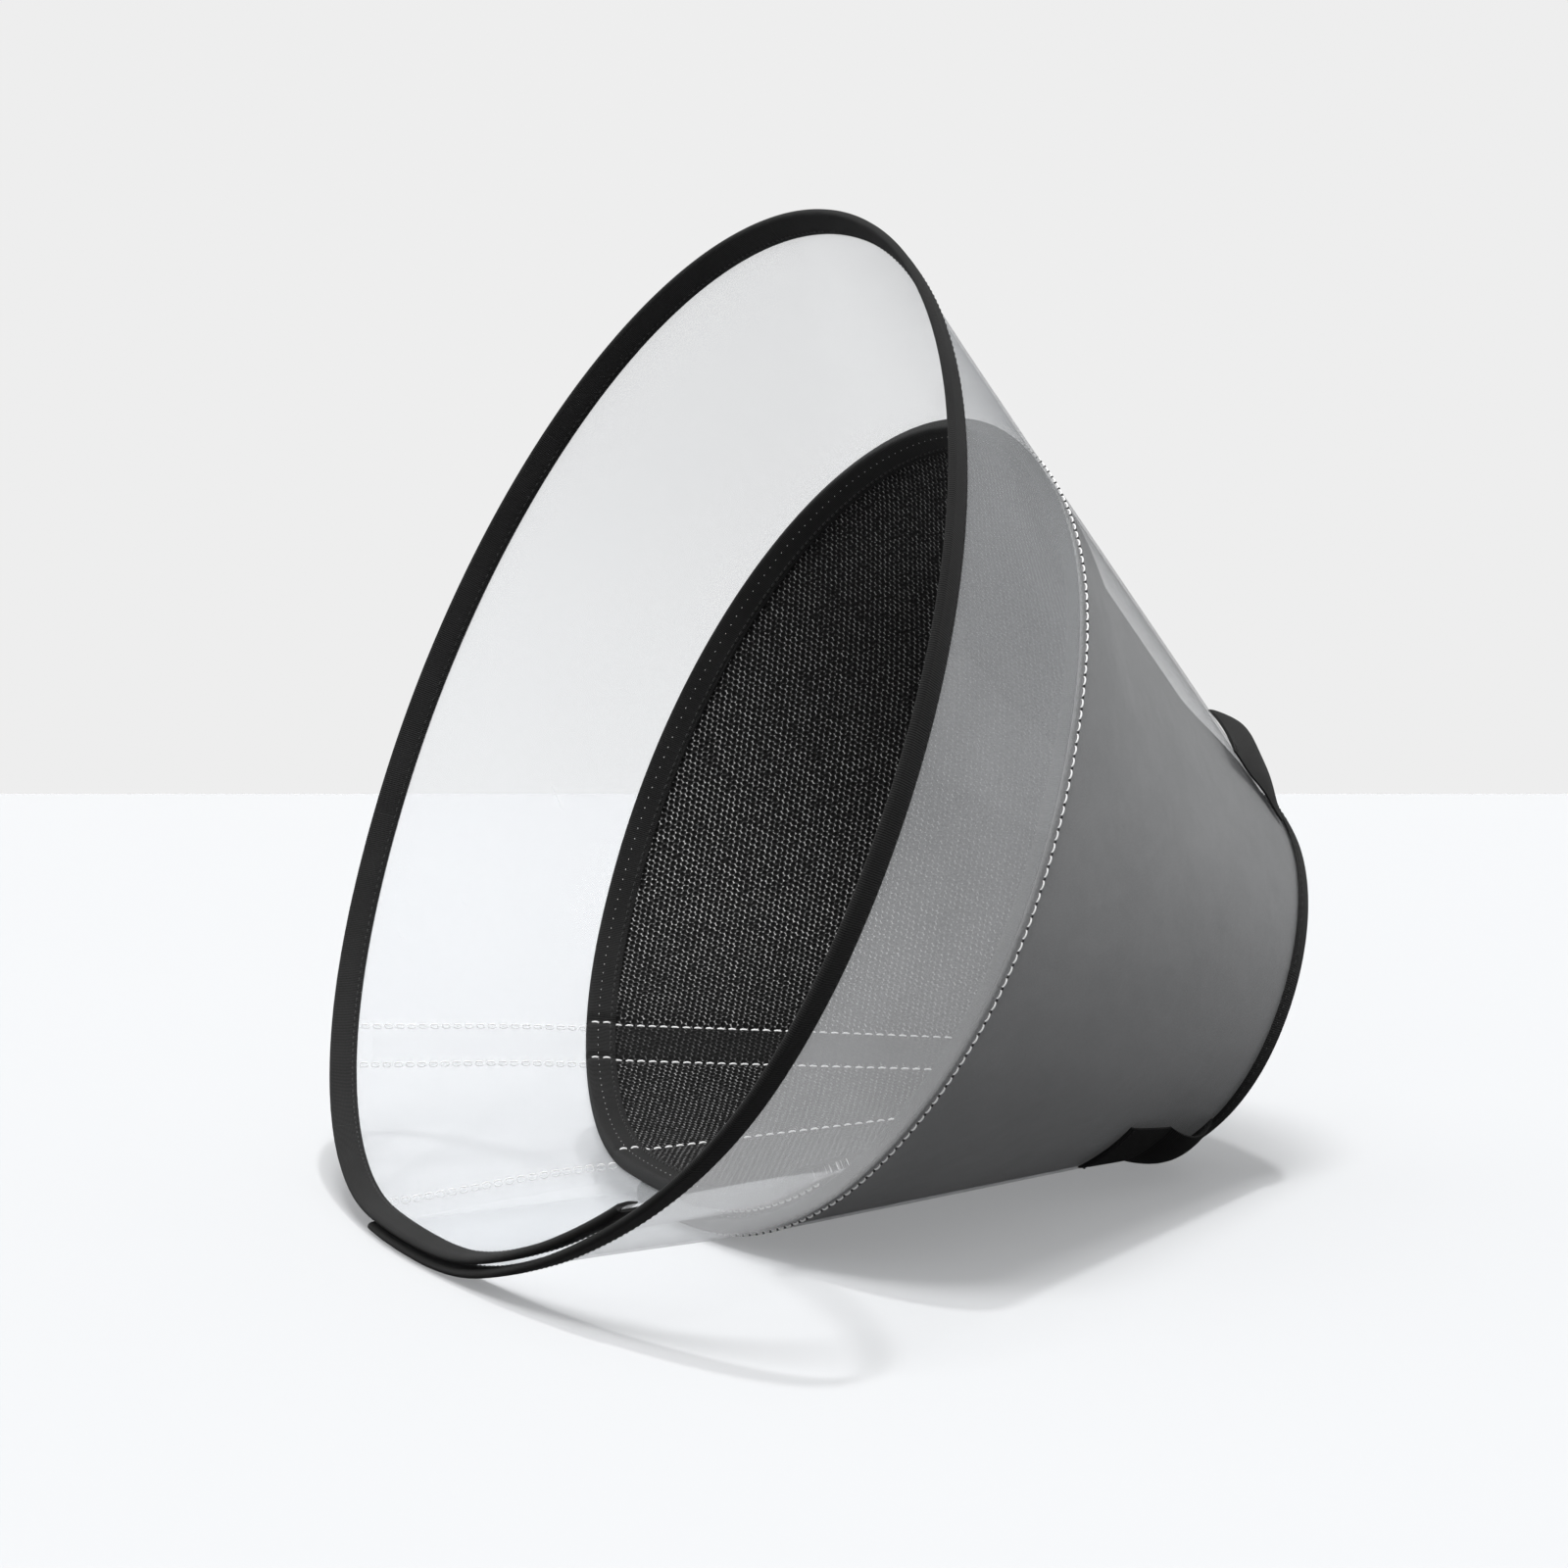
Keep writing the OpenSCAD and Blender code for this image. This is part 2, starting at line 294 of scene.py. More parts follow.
def layer(bag, phs, s_lo, s_hi, rows, o_out, o_in, hang=False, cap0=1, cap1=1, edge_mat=0):
    """A closed thin layer of the wall between two offsets. s_lo, s_hi may follow the turn."""
    phs = np.asarray(phs, float)
    s_lo = np.broadcast_to(s_lo, phs.shape)
    s_hi = np.broadcast_to(s_hi, phs.shape)
    k = np.asarray(rows, float)
    S = s_lo[:, None] + (s_hi - s_lo)[:, None] * k[None, :]
    PH = np.broadcast_to(phs[:, None], S.shape)
    nr, nc = S.shape
    q = quads(nr, nc)
    uvp = flat_xy(PH, S).reshape(-1, 2)
    out = place(PH, S, o_out, hang).reshape(-1, 3)
    inn = place(PH, S, o_in(PH, S) if callable(o_in) else o_in, hang).reshape(-1, 3)
    no = face_dir(PH, S, o_out, hang).reshape(-1, 3)
    v = np.concatenate([out, inn])
    ph = np.concatenate([PH.ravel(), PH.ravel()])
    nn = no[q]
    qo = q if outward_first(out, q, nn) else q[:, ::-1]
    qi = qo[:, ::-1] + nr * nc
    faces, uvs, nrm, mat = [qo, qi], [uvp[qo], uvp[qi - nr * nc]], [no[qo], -no[qi - nr * nc]], [0 * qo[:, 0], 0 * qi[:, 0]]

    def wall(idx, away, m):
        a, b = idx[:-1], idx[1:]
        w = np.stack([a, b, b + nr * nc, a + nr * nc], -1)
        p = [v[w[:, i]] for i in range(4)]
        g = np.cross(p[2] - p[0], p[3] - p[1])
        g /= np.maximum(np.linalg.norm(g, axis=1), 1e-12)[:, None]
        flip = (g * away).sum() < 0
        if flip:
            w, g = w[:, ::-1], -g
        faces.append(w)
        uvs.append(uvp[w % (nr * nc)])
        nrm.append(np.repeat(g[:, None], 4, 1))
        mat.append(np.full(len(w), m))

    grid = np.arange(nr * nc).reshape(nr, nc)
    wall(grid[:, 0], (out[grid[:-1, 0]] - out[grid[:-1, 1]]), edge_mat)
    wall(grid[:, -1], (out[grid[:-1, -1]] - out[grid[:-1, -2]]), edge_mat)
    wall(grid[0], (out[grid[0, :-1]] - out[grid[1, :-1]]), cap0)
    wall(grid[-1], (out[grid[-1, :-1]] - out[grid[-2, :-1]]), cap1)
    bag.add(v, ph, np.concatenate(faces), np.concatenate(uvs), np.concatenate(nrm), np.concatenate(mat))


def sweep(bag, phs, ss, prof, cap0=True, cap1=True, pucker=None, hang=False):
    """A tape folded over an edge: prof is a closed loop of (q, o) with q across the edge, outward from the wall."""
    phs, ss = np.asarray(phs, float), np.asarray(ss, float)
    x = pattern(phs) * D2R * ss
    dx, dy = np.gradient(x), np.gradient(ss)
    ln = np.maximum(np.hypot(dx, dy), 1e-9)
    nx, ny = -dy / ln, dx / ln  # to the rim side of a path that runs with the turn
    run = np.concatenate([[0.0], np.cumsum(np.hypot(np.diff(x), np.diff(ss)))])
    prof = np.asarray(prof, float)
    plen = np.concatenate([[0.0], np.cumsum(np.linalg.norm(np.diff(np.vstack([prof, prof[:1]]), axis=0), axis=1))])
    Q = np.broadcast_to(prof[None, :, 0], (len(phs), len(prof)))
    O = np.broadcast_to(prof[None, :, 1], (len(phs), len(prof))).copy()
    if pucker is not None:
        O = O + pucker(run[:, None], prof[None, :, 0], prof[None, :, 1])
    per = np.gradient(pattern(phs)) / np.gradient(phs)
    PH = phs[:, None] + Q * nx[:, None] / (ss[:, None] * D2R * per[:, None])
    S = ss[:, None] + Q * ny[:, None]
    v = place(PH, S, O, hang)
    # smooth normals from the swept surface
    a = np.gradient(v, axis=0)
    b = np.roll(v, -1, 1) - np.roll(v, 1, 1)
    n = np.cross(a, b)
    n /= np.maximum(np.linalg.norm(n, axis=-1), 1e-12)[..., None]
    mid = v.mean(1, keepdims=True)
    nr, nc = Q.shape
    q = quads(nr, nc, close_c=True)
    vf, nf = v.reshape(-1, 3), n.reshape(-1, 3)
    # signed area of the profile says which way round it runs
    area = (prof[:, 0] * np.roll(prof[:, 1], -1) - np.roll(prof[:, 0], -1) * prof[:, 1]).sum()
    probe = int(np.argmax(prof[:, 1]))
    _, up = around(phs[:1])
    if (n[0, probe] * up[0]).sum() < 0:
        nf = -nf
    if not outward_first(vf, q, nf[q]):
        q = q[:, ::-1]
    U = np.broadcast_to(run[:, None], (nr, nc)).reshape(-1) * MM
    col = q % nc
    V = plen[col].copy()
    wrap = (col.max(1) == nc - 1) & (col.min(1) == 0)
    V[wrap] = np.where(col[wrap] == 0, plen[-1], V[wrap])
    uv = np.stack([U[q], V * MM], -1)
    faces, uvs, nrm = [q], [uv], [nf[q]]
    bag.add(vf, PH.reshape(-1), np.concatenate(faces), np.concatenate(uvs), np.concatenate(nrm))
    for end, on in ((0, cap0), (nr - 1, cap1)):
        if not on:
            continue
        ring = v[end]
        h = nc // 2
        w = np.array([[k, k + 1, nc - 2 - k, nc - 1 - k] for k in range(h - 1)])
        away = v[end] - v[1 if end == 0 else nr - 2]
        p = [ring[w[:, i]] for i in range(4)]
        g = np.cross(p[2] - p[0], p[3] - p[1]).sum(0)
        if (g * away.mean(0)).sum() < 0:
            w = w[:, ::-1]
        bag.add(ring, PH[end], w, np.tile(np.array([[[0, 0], [0, .001], [.001, .001], [.001, 0]]]), (len(w), 1, 1)))


def stitches(bag, ph, s, o, dph, ds, length, rad, bury=0.55, sides=6, flip=False):
    """Short rounded threads lying on the wall, centred at ph, s with direction (dph, ds) in mm on the pattern."""
    ph, s = np.asarray(ph, float), np.asarray(s, float)
    if len(ph) == 0:
        return
    st = np.linspace(-1, 1, 7)
    rise = np.array([-bury, 0.15 * rad, 0.75 * rad, 0.9 * rad, 0.75 * rad, 0.15 * rad, -bury])
    fat = np.array([0.55, 0.9, 1.0, 1.0, 1.0, 0.9, 0.55]) * rad
    sg = -1.0 if flip else 1.0
    per = (pattern(ph + 0.5) - pattern(ph - 0.5))
    k = 1.0 / (s * D2R * per)
    cx = ph[:, None] + (dph * k)[:, None] * st[None] * length / 2
    cs = s[:, None] + np.broadcast_to(ds, s.shape)[:, None] * st[None] * length / 2
    c = place(cx, cs, np.asarray(o, float).reshape(-1, 1) + sg * rise[None])
    along = np.gradient(c, axis=1)
    along /= np.linalg.norm(along, axis=-1, keepdims=True)
    _, n = around(cx)
    side = np.cross(along, n)
    side /= np.linalg.norm(side, axis=-1, keepdims=True)
    up = np.cross(side, along)
    an = np.arange(sides) * 2 * math.pi / sides
    ring = (np.cos(an)[None, None, :, None] * side[:, :, None] + np.sin(an)[None, None, :, None] * up[:, :, None])
    v = c[:, :, None] + ring * fat[None, :, None, None]
    ns, nst = len(ph), len(st)
    q1 = quads(nst, sides, close_c=True)
    v1 = v[0].reshape(-1, 3)
    if not outward_first(v1, q1, ring[0].reshape(-1, 3)[q1]):
        q1 = q1[:, ::-1]
    q = (q1[None] + (np.arange(ns) * nst * sides)[:, None, None]).reshape(-1, 4)
    nf = ring.reshape(-1, 3)
    u = np.broadcast_to((st * length / 2)[None, :, None] * MM, (ns, nst, sides)).reshape(-1)
    w = np.broadcast_to((an * rad)[None, None, :] * MM, (ns, nst, sides)).reshape(-1)
    bag.add(v.reshape(-1, 3), np.repeat(ph, nst * sides), q, np.stack([u[q], w[q]], -1), nf[q])
    caps = []
    for end in (0, nst - 1):
        b = end * sides
        for w4 in ([0, 1, 2, 3], [0, 3, 4, 5]):
            caps.append([b + x for x in w4])
    caps = np.array(caps)
    fq = (caps[None] + (np.arange(ns) * nst * sides)[:, None, None]).reshape(-1, 4)
    bag.f.append(fq + bag.count - len(v.reshape(-1, 3)))
    bag.uv.append(np.zeros((len(fq), 4, 2)))
    bag.n.append(nf[fq])
    bag.m.append(np.zeros(len(fq), int))


# ------------------------------------------------------------------ materials
class Nodes:
    def __init__(self, name):
        self.mat = bpy.data.materials.new(name)
        self.mat.use_nodes = True
        self.t = self.mat.node_tree
        self.t.nodes.clear()
        self.out = self.t.nodes.new("ShaderNodeOutputMaterial")

    def n(self, kind, props=None, **inputs):
        node = self.t.nodes.new("ShaderNode" + kind)
        for k, v in (props or {}).items():
            setattr(node, k, v)
        for k, v in inputs.items():
            key = k.replace("_", " ")
            if key.isdigit():
                key = int(key)
            self.put(node.inputs[key], v)
        return node

    def put(self, sock, v):
        if isinstance(v, bpy.types.NodeSocket):
            self.t.links.new(v, sock)
        elif isinstance(v, bpy.types.Node):
            self.t.links.new(v.outputs[0], sock)
        else:
            sock.default_value = v

    def math(self, op, a, b=0.0, c=0.0, clamp=False):
        node = self.t.nodes.new("ShaderNodeMath")
        node.operation = op
        node.use_clamp = clamp
        for i, x in enumerate((a, b, c)):
            self.put(node.inputs[i], x)
        return node.outputs[0]

    def vmath(self, op, a, b=None):
        node = self.t.nodes.new("ShaderNodeVectorMath")
        node.operation = op
        self.put(node.inputs[0], a)
        if b is not None:
            self.put(node.inputs[1], b)
        return node

    def mixc(self, fac, a, b, mode="MIX"):
        node = self.t.nodes.new("ShaderNodeMix")
        node.data_type = "RGBA"
        node.blend_type = mode
        self.put(node.inputs[0], fac)
        self.put(node.inputs[6], a)
        self.put(node.inputs[7], b)
        return node.outputs[2]

    def uv(self):
        return self.n("UVMap", {"uv_map": "pattern"}).outputs[0]

    def noise(self, vec, scale, detail=2.0, rough=0.5):
        return self.n("TexNoise", None, Vector=vec, Scale=scale, Detail=detail, Roughness=rough).outputs[0]

    def ramp(self, fac, stops):
        node = self.t.nodes.new("ShaderNodeValToRGB")
        e = node.color_ramp.elements
        while len(e) > 1:
            e.remove(e[-1])
        for i, (p, c) in enumerate(stops):
            el = e[0] if i == 0 else e.new(p)
            el.position = p
            el.color = c if len(c) == 4 else (*c, 1)
        self.put(node.inputs[0], fac)
        return node.outputs[0]

    def maprange(self, v, a, b, c, d, kind="SMOOTHSTEP"):
        node = self.t.nodes.new("ShaderNodeMapRange")
        node.interpolation_type = kind
        for i, x in enumerate((v, a, b, c, d)):
            self.put(node.inputs[i], x)
        return node.outputs[0]

    def done(self, shader):
        self.put(self.out.inputs[0], shader)
        return self.mat


def lin(v):
    """Linear value of an sRGB grey level 0-255."""
    v = v / 255.0
    return v / 12.92 if v <= 0.04045 else ((v + 0.055) / 1.055) ** 2.4


def grey(v, tint=(1, 1, 1)):
    x = lin(v)
    return (x * tint[0], x * tint[1], x * tint[2], 1)


def mat_clear():
    """Clear flexible plastic: mostly see-through, a soft haze, a mirror sheen at low angles."""
    k = Nodes("clear_plastic")
    uv = k.uv()
    big = k.noise(uv, 14.0, 2.0, 0.5)
    fine = k.noise(uv, 420.0, 3.0, 0.6)
    streak = k.noise(k.vmath("MULTIPLY", uv, (900.0, 26.0, 1.0)).outputs[0], 1.0, 3.0, 0.65)
    scratch = k.maprange(streak, 0.66, 0.78, 0.0, 1.0)
    bump = k.n("Bump", None, Strength=0.12, Distance=0.004, Height=big)
    bump2 = k.n("Bump", None, Strength=0.01, Distance=0.0002, Height=fine, Normal=bump.outputs[0])
    # distance from the apex: over the padded panel the haze is turned down, painted shade for the light from behind
    # that the cloth blocks there
    clear_part = k.maprange(k.vmath("LENGTH", uv).outputs[1], 0.3172, 0.3188, 0.26, 1.0)
    haze = k.math("MULTIPLY", k.maprange(big, 0.3, 0.7, 0.20, 0.23), clear_part)
    haze = k.math("ADD", haze, k.math("MULTIPLY", scratch, 0.05))
    haze = k.math("ADD", haze, k.math("MULTIPLY", k.math("SUBTRACT", fine, 0.5), 0.012))
    thr = k.n("BsdfTranslucent", None, Color=(0.98, 0.983, 0.99, 1))
    sca = k.n("BsdfDiffuse", None, Color=(0.90, 0.93, 0.96, 1), Roughness=0.3)
    fog = k.n("MixShader", None, **{"0": 0.46, "1": thr.outputs[0], "2": sca.outputs[0]})
    see = k.n("BsdfTransparent", None, Color=(0.975, 0.978, 0.981, 1))
    body = k.n("MixShader", None, **{"0": haze, "1": see.outputs[0], "2": fog.outputs[0]})
    lw = k.n("LayerWeight", None, Blend=0.5, Normal=bump2.outputs[0])
    facing = lw.outputs[1]
    fr = k.math("MULTIPLY_ADD", k.math("POWER", facing, 4.0), 0.38, 0.02)
    gl = k.n("BsdfGlossy", None, Color=(1, 1, 1, 1), Roughness=0.16, Normal=bump2.outputs[0])
    allb = k.n("MixShader", None, **{"0": fr, "1": body.outputs[0], "2": gl.outputs[0]})
    # light that falls through it is scattered forward, so its shadow is faint
    lp = k.n("LightPath")
    pale = k.n("BsdfTransparent", None, Color=(0.985, 0.985, 0.985, 1))
    return k.done(k.n("MixShader", None, **{"0": lp.outputs[1], "1": allb.outputs[0], "2": pale.outputs[0]}).outputs[0])


def mat_edge():
    """Cut edge of the clear plastic: brighter and milkier than its faces."""
    k = Nodes("clear_plastic_edge")
    uv = k.uv()
    nz = k.noise(uv, 700.0, 2.0)
    bs = k.n("BsdfPrincipled", None, Base_Color=(0.86, 0.88, 0.9, 1), Roughness=0.3, Alpha=k.maprange(nz, 0.3, 0.7, 0.10, 0.18))
    return k.done(bs.outputs[0])


def mat_none():
    """The cut between two stretches of one sheet, which isn't a real edge."""
    k = Nodes("clear_plastic_join")
    uv = k.uv()
    nz = k.noise(uv, 300.0, 1.0)
    tr = k.n("BsdfTransparent", None, Color=k.mixc(nz, (1, 1, 1, 1), (0.995, 0.995, 0.995, 1)))
    return k.done(tr.outputs[0])


def mat_fabric():
    """Grey satin-finish fabric, fine grain."""
    k = Nodes("outer_fabric_grey")
    uv = k.uv()
    mm = k.vmath("SCALE", uv)
    k.put(mm.inputs[3], 1000.0)
    sep = k.n("SeparateXYZ", None, Vector=mm.outputs[0])
    x, y = sep.outputs[0], sep.outputs[1]
    wx = k.math("SINE", k.math("MULTIPLY", x, 2 * math.pi / 0.42))
    wy = k.math("SINE", k.math("MULTIPLY", y, 2 * math.pi / 0.42))
    weave = k.math("MULTIPLY", wx, wy)
    grain = k.noise(mm.outputs[0], 1.9, 4.0, 0.7)
    soft = k.noise(mm.outputs[0], 0.035, 3.0, 0.5)
    slub = k.noise(k.vmath("MULTIPLY", mm.outputs[0], (0.10, 1.5, 1.0)).outputs[0], 1.0, 2.0, 0.6)
    col = k.ramp(grain, [(0.28, grey(104)), (0.5, grey(122)), (0.74, grey(141))])
    col = k.mixc(k.maprange(soft, 0.35, 0.65, 0.0, 0.22), col, grey(136))
    col = k.mixc(k.maprange(slub, 0.55, 0.8, 0.0, 0.14), col, grey(152))
    h = k.math("ADD", k.math("MULTIPLY", weave, 0.25), grain)
    bump = k.n("Bump", None, Strength=0.45, Distance=0.00016, Height=h)
    soft_b = k.n("Bump", None, Strength=0.35, Distance=0.004, Height=soft, Normal=bump.outputs[0])
    bs = k.n("BsdfPrincipled", None, Base_Color=col, Roughness=0.52, Normal=soft_b.outputs[0])
    bs.inputs["Specular IOR Level"].default_value = 0.42
    bs.inputs["Sheen Weight"].default_value = 0.25
    bs.inputs["Sheen Roughness"].default_value = 0.4
    return k.done(bs.outputs[0])


def mat_lining():
    """Black spacer mesh: staggered round holes between shiny knit ridges, with painted glints on its knots and painted
    shade where it faces up.
    """
    k = Nodes("spacer_mesh_black")
    uv = k.uv()
    mm = k.vmath("SCALE", uv)
    k.put(mm.inputs[3], 1000.0)
    jit = k.n("TexNoise", None, Vector=mm.outputs[0], Scale=0.25, Detail=1.0)
    wob = k.vmath("MULTIPLY_ADD", jit.outputs[1], (0.5, 0.5, 0.0))
    k.put(wob.inputs[2], mm.outputs[0])
    px, py = 2.4, 1.75
    cell = k.vmath("MULTIPLY", wob.outputs[0], (1 / px, 1 / (2 * py), 0.0))

    def hole(off):
        p = k.vmath("ADD", cell.outputs[0], (off, off, 0.0))
        fr = k.vmath("FRACTION", p.outputs[0])
        ce = k.vmath("SUBTRACT", fr.outputs[0], (0.5, 0.5, 0.0))
        sc = k.vmath("MULTIPLY", ce.outputs[0], (px, 2 * py, 0.0))
        return k.vmath("LENGTH", sc.outputs[0]).outputs[1]

    dist = k.math("MINIMUM", hole(0.0), hole(0.5))
    pit = k.maprange(dist, 0.42, 0.80, 0.0, 1.0)
    yarn = k.noise(k.vmath("MULTIPLY", mm.outputs[0], (3.2, 1.2, 1.0)).outputs[0], 1.0, 3.0, 0.7)
    spark = k.noise(mm.outputs[0], 0.9, 2.0, 0.6)
    knot = k.maprange(dist, 1.0, 1.16, 0.0, 1.0)
    # the strip's seams press the mesh flat between them
    press = k.n("Attribute", {"attribute_name": "press", "attribute_type": "GEOMETRY"}).outputs[2]
    pit = k.math("MAXIMUM", pit, k.math("MULTIPLY", press, 0.35))
    ridge = k.mixc(yarn, grey(18), grey(38))
    # painted highlights: pale glints on the knots between the holes, scattered by a noise, fewer where the seams press
    # the mesh flat
    lit = k.math("MULTIPLY", k.math("MULTIPLY", knot, k.maprange(spark, 0.40, 0.60, 0.0, 1.0)), k.math("SUBTRACT", 1.0, k.math("MULTIPLY", press, 0.7)))
    ridge = k.mixc(k.math("MULTIPLY", lit, 0.9), ridge, grey(232))
    # painted shade: where it lies flat and faces up, the lining's colour is darkened, standing in for the light that
    # falls down into the mesh
    up_z = k.n("SeparateXYZ", None, Vector=k.n("NewGeometry").outputs["Normal"]).outputs[2]
    col = k.mixc(k.math("MULTIPLY", pit, k.maprange(up_z, 0.35, 0.95, 1.0, 0.45)), grey(5), ridge)
    h = k.math("ADD", pit, k.math("MULTIPLY", yarn, 0.3))
    bump = k.n("Bump", None, Strength=0.9, Distance=0.0009, Height=h)
    bs = k.n("BsdfPrincipled", None, Base_Color=col, Roughness=0.62, Normal=bump.outputs[0])
    bs.inputs["Specular IOR Level"].default_value = 0.35
    return k.done(bs.outputs[0])


def mat_tape(name="binding_tape_black", base=24, hi=44):
    """Folded polyester tape: fine cross ribs, a dry sheen."""
    k = Nodes(name)
    uv = k.uv()
    mm = k.vmath("SCALE", uv)
    k.put(mm.inputs[3], 1000.0)
    sep = k.n("SeparateXYZ", None, Vector=mm.outputs[0])
    rib = k.math("SINE", k.math("MULTIPLY", sep.outputs[0], 2 * math.pi / 0.75))
    warp = k.math("SINE", k.math("MULTIPLY", sep.outputs[1], 2 * math.pi / 0.5))
    nz = k.noise(mm.outputs[0], 1.6, 3.0, 0.6)
    wide = k.noise(mm.outputs[0], 0.05, 2.0)
    f = k.math("ADD", k.math("MULTIPLY_ADD", rib, 0.22, 0.3), k.math("MULTIPLY", nz, 0.45))
    f = k.math("ADD", f, k.math("MULTIPLY", k.math("SUBTRACT", wide, 0.5), 0.3))
    col = k.ramp(f, [(0.15, grey(base - 12)), (0.5, grey(base)), (0.85, grey(hi))])
    h = k.math("ADD", rib, k.math("ADD", k.math("MULTIPLY", warp, 0.35), k.math("MULTIPLY", nz, 0.8)))
    bump = k.n("Bump", None, Strength=0.5, Distance=0.0002, Height=h)
    bs = k.n("BsdfPrincipled", None, Base_Color=col, Roughness=0.68, Normal=bump.outputs[0])
    bs.inputs["Specular IOR Level"].default_value = 0.3
    bs.inputs["Sheen Weight"].default_value = 0.06
    return k.done(bs.outputs[0])


def mat_thread(name, v):
    """Twisted sewing thread."""
    k = Nodes(name)
    uv = k.uv()
    mm = k.vmath("SCALE", uv)
    k.put(mm.inputs[3], 1000.0)
    sep = k.n("SeparateXYZ", None, Vector=mm.outputs[0])
    tw = k.math("SINE", k.math("MULTIPLY", k.math("ADD", sep.outputs[0], sep.outputs[1]), 2 * math.pi / 0.45))
    col = k.mixc(k.maprange(tw, -1.0, 1.0, 0.0, 1.0), grey(v * 0.86), grey(v))
    bump = k.n("Bump", None, Strength=0.5, Distance=0.0001, Height=tw)
    bs = k.n("BsdfPrincipled", None, Base_Color=col, Roughness=0.5, Normal=bump.outputs[0])
    bs.inputs["Sheen Weight"].default_value = 0.2
    # painted light: the white thread glows a little by itself, to look brighter
    if v > 128:
        k.put(bs.inputs["Emission Color"], col)
        bs.inputs["Emission Strength"].default_value = 0.22
    return k.done(bs.outputs[0])


def mat_strip():
    """Thin translucent hook-and-loop tape, with its field of tiny hooks."""
    k = Nodes("hook_and_loop_clear")
    uv = k.uv()
    mm = k.vmath("SCALE", uv)
    k.put(mm.inputs[3], 1000.0)
    vo = k.n("TexVoronoi", None, Vector=mm.outputs[0], Scale=1.1)
    dots = k.maprange(vo.outputs[0], 0.1, 0.45, 1.0, 0.0)
    nz = k.noise(mm.outputs[0], 0.5, 3.0)
    bump = k.n("Bump", None, Strength=0.6, Distance=0.0003, Height=dots)
    thr = k.n("BsdfTranslucent", None, Color=(0.9, 0.92, 0.93, 1), Normal=bump.outputs[0])
    sca = k.n("BsdfPrincipled", None, Base_Color=k.mixc(nz, grey(205), grey(232)), Roughness=0.45, Normal=bump.outputs[0])
    fog = k.n("MixShader", None, **{"0": 0.5, "1": thr.outputs[0], "2": sca.outputs[0]})
    see = k.n("BsdfTransparent", None, Color=(0.99, 0.99, 0.99, 1))
    a = k.math("MULTIPLY_ADD", dots, 0.05, 0.05)
    body = k.n("MixShader", None, **{"0": a, "1": see.outputs[0], "2": fog.outputs[0]})
    return k.done(body.outputs[0])


M_CLEAR, M_EDGE, M_NONE = mat_clear(), mat_edge(), mat_none()
M_FABRIC, M_MESH = mat_fabric(), mat_lining()
M_TAPE, M_WEB = mat_tape(), mat_tape("webbing_black", 18, 34)
M_WHITE, M_BLACK = mat_thread("thread_white", 250), mat_thread("thread_black", 12)
M_STRIP = mat_strip()

# ------------------------------------------------------------------ pieces of the wall
R_CORNER = 17.0  # rounding of the padded panel at its two free ends


def turn_of(x_mm, s, end):
    """Turn of a point x_mm along the wall from a free end."""
    per = (pattern(np.array([end + 1.0])) - pattern(np.array([end - 1.0])))[0] / 2
    return x_mm / (s * D2R * per)


def steps(a, b, step):
    n = max(2, int(math.ceil((b - a) / step)) + 1)
    return np.linspace(a, b, n)


def panel_phs(span, step):
    """Turns of a span, finer round the panel's rounded corner."""
    a, b = span[1], span[2]
    ph = steps(a, b, step)
    if span[0] == "base":
        x = R_CORNER * (1 - np.cos(np.linspace(0, 90, 14) * D2R))
        add = a + turn_of(x, 305.0, a)
        ph = np.concatenate([add, ph[ph > add[-1] + 0.2]])
    if span[0] == "flap":
        x = R_CORNER * (1 - np.cos(np.linspace(0, 90, 14) * D2R))
        add = b - turn_of(x, 305.0, b)
        ph = np.concatenate([ph[ph < add[-1] - 0.2], add[::-1]])
    return ph


def panel_front(span, ph, s_edge=S_PAD):
    """Front edge of the padded panel, rounded at its free ends."""
    s = np.full(len(ph), s_edge)
    for name, end in (("base", PH0), ("flap", PH1)):
        if span[0] == name:
            per = 1.0 / turn_of(1.0, 305.0, end)
            x = np.abs(ph - end) * per
            r = R_CORNER
            xx = np.clip(r - x, 0, r)
            s = s_edge - (r - np.sqrt(np.maximum(r * r - xx * xx, 0)))
    return s


def tape_profile(width, o_top, o_bot, thick, nose, n=7, puff=0.25):
    """Closed profile of a tape folded over an edge at q=0, both legs width long."""
    top, bot = o_top, o_bot
    mid, half = (top + bot) / 2, (top - bot) / 2
    pts = []
    q = np.linspace(-width, -0.6, n)
    for i, x in enumerate(q):  # outer face, inner end to nose
        f = i / (n - 1)
        lift = puff * math.sin(math.pi * min(1.0, f * 1.05)) if 0 < f < 1 else 0
        edge = -0.35 * thick if i == 0 else 0
        pts.append((x, top + edge - puff + lift + (0 if i else 0)))
    for a in np.linspace(78, -78, 7):
        pts.append((-0.6 + nose * math.cos(a * D2R), mid + (half - puff) * math.sin(a * D2R)))
    for i, x in enumerate(q[::-1]):
        f = i / (n - 1)
        lift = puff * math.sin(math.pi * min(1.0, (1 - f) * 1.05)) if 0 < f < 1 else 0
        edge = 0.35 * thick if i == n - 1 else 0
        pts.append((x, bot + edge + puff - lift))
    inner_t, inner_b = top - thick, bot + thick
    if inner_t - inner_b < 0.15:
        inner_t, inner_b = mid + 0.07, mid - 0.07
    back = []
    for x in q:
        back.append((x, inner_b))
    for x in q[::-1]:
        back.append((x, inner_t))
    out = pts + back
    return out


def puckers(pitch, depth, row):
    """Small dips where each stitch pulls the tape down."""

    def f(run, q, o):
        near = np.exp(-((np.abs(q) - row) / 1.1) ** 2)
        dip = 0.5 + 0.5 * np.cos(run * 2 * math.pi / pitch)
        side = np.sign(o + 0.4)
        return -side * depth * near * dip * (np.abs(o + 0.4) > 0.9)

    return f


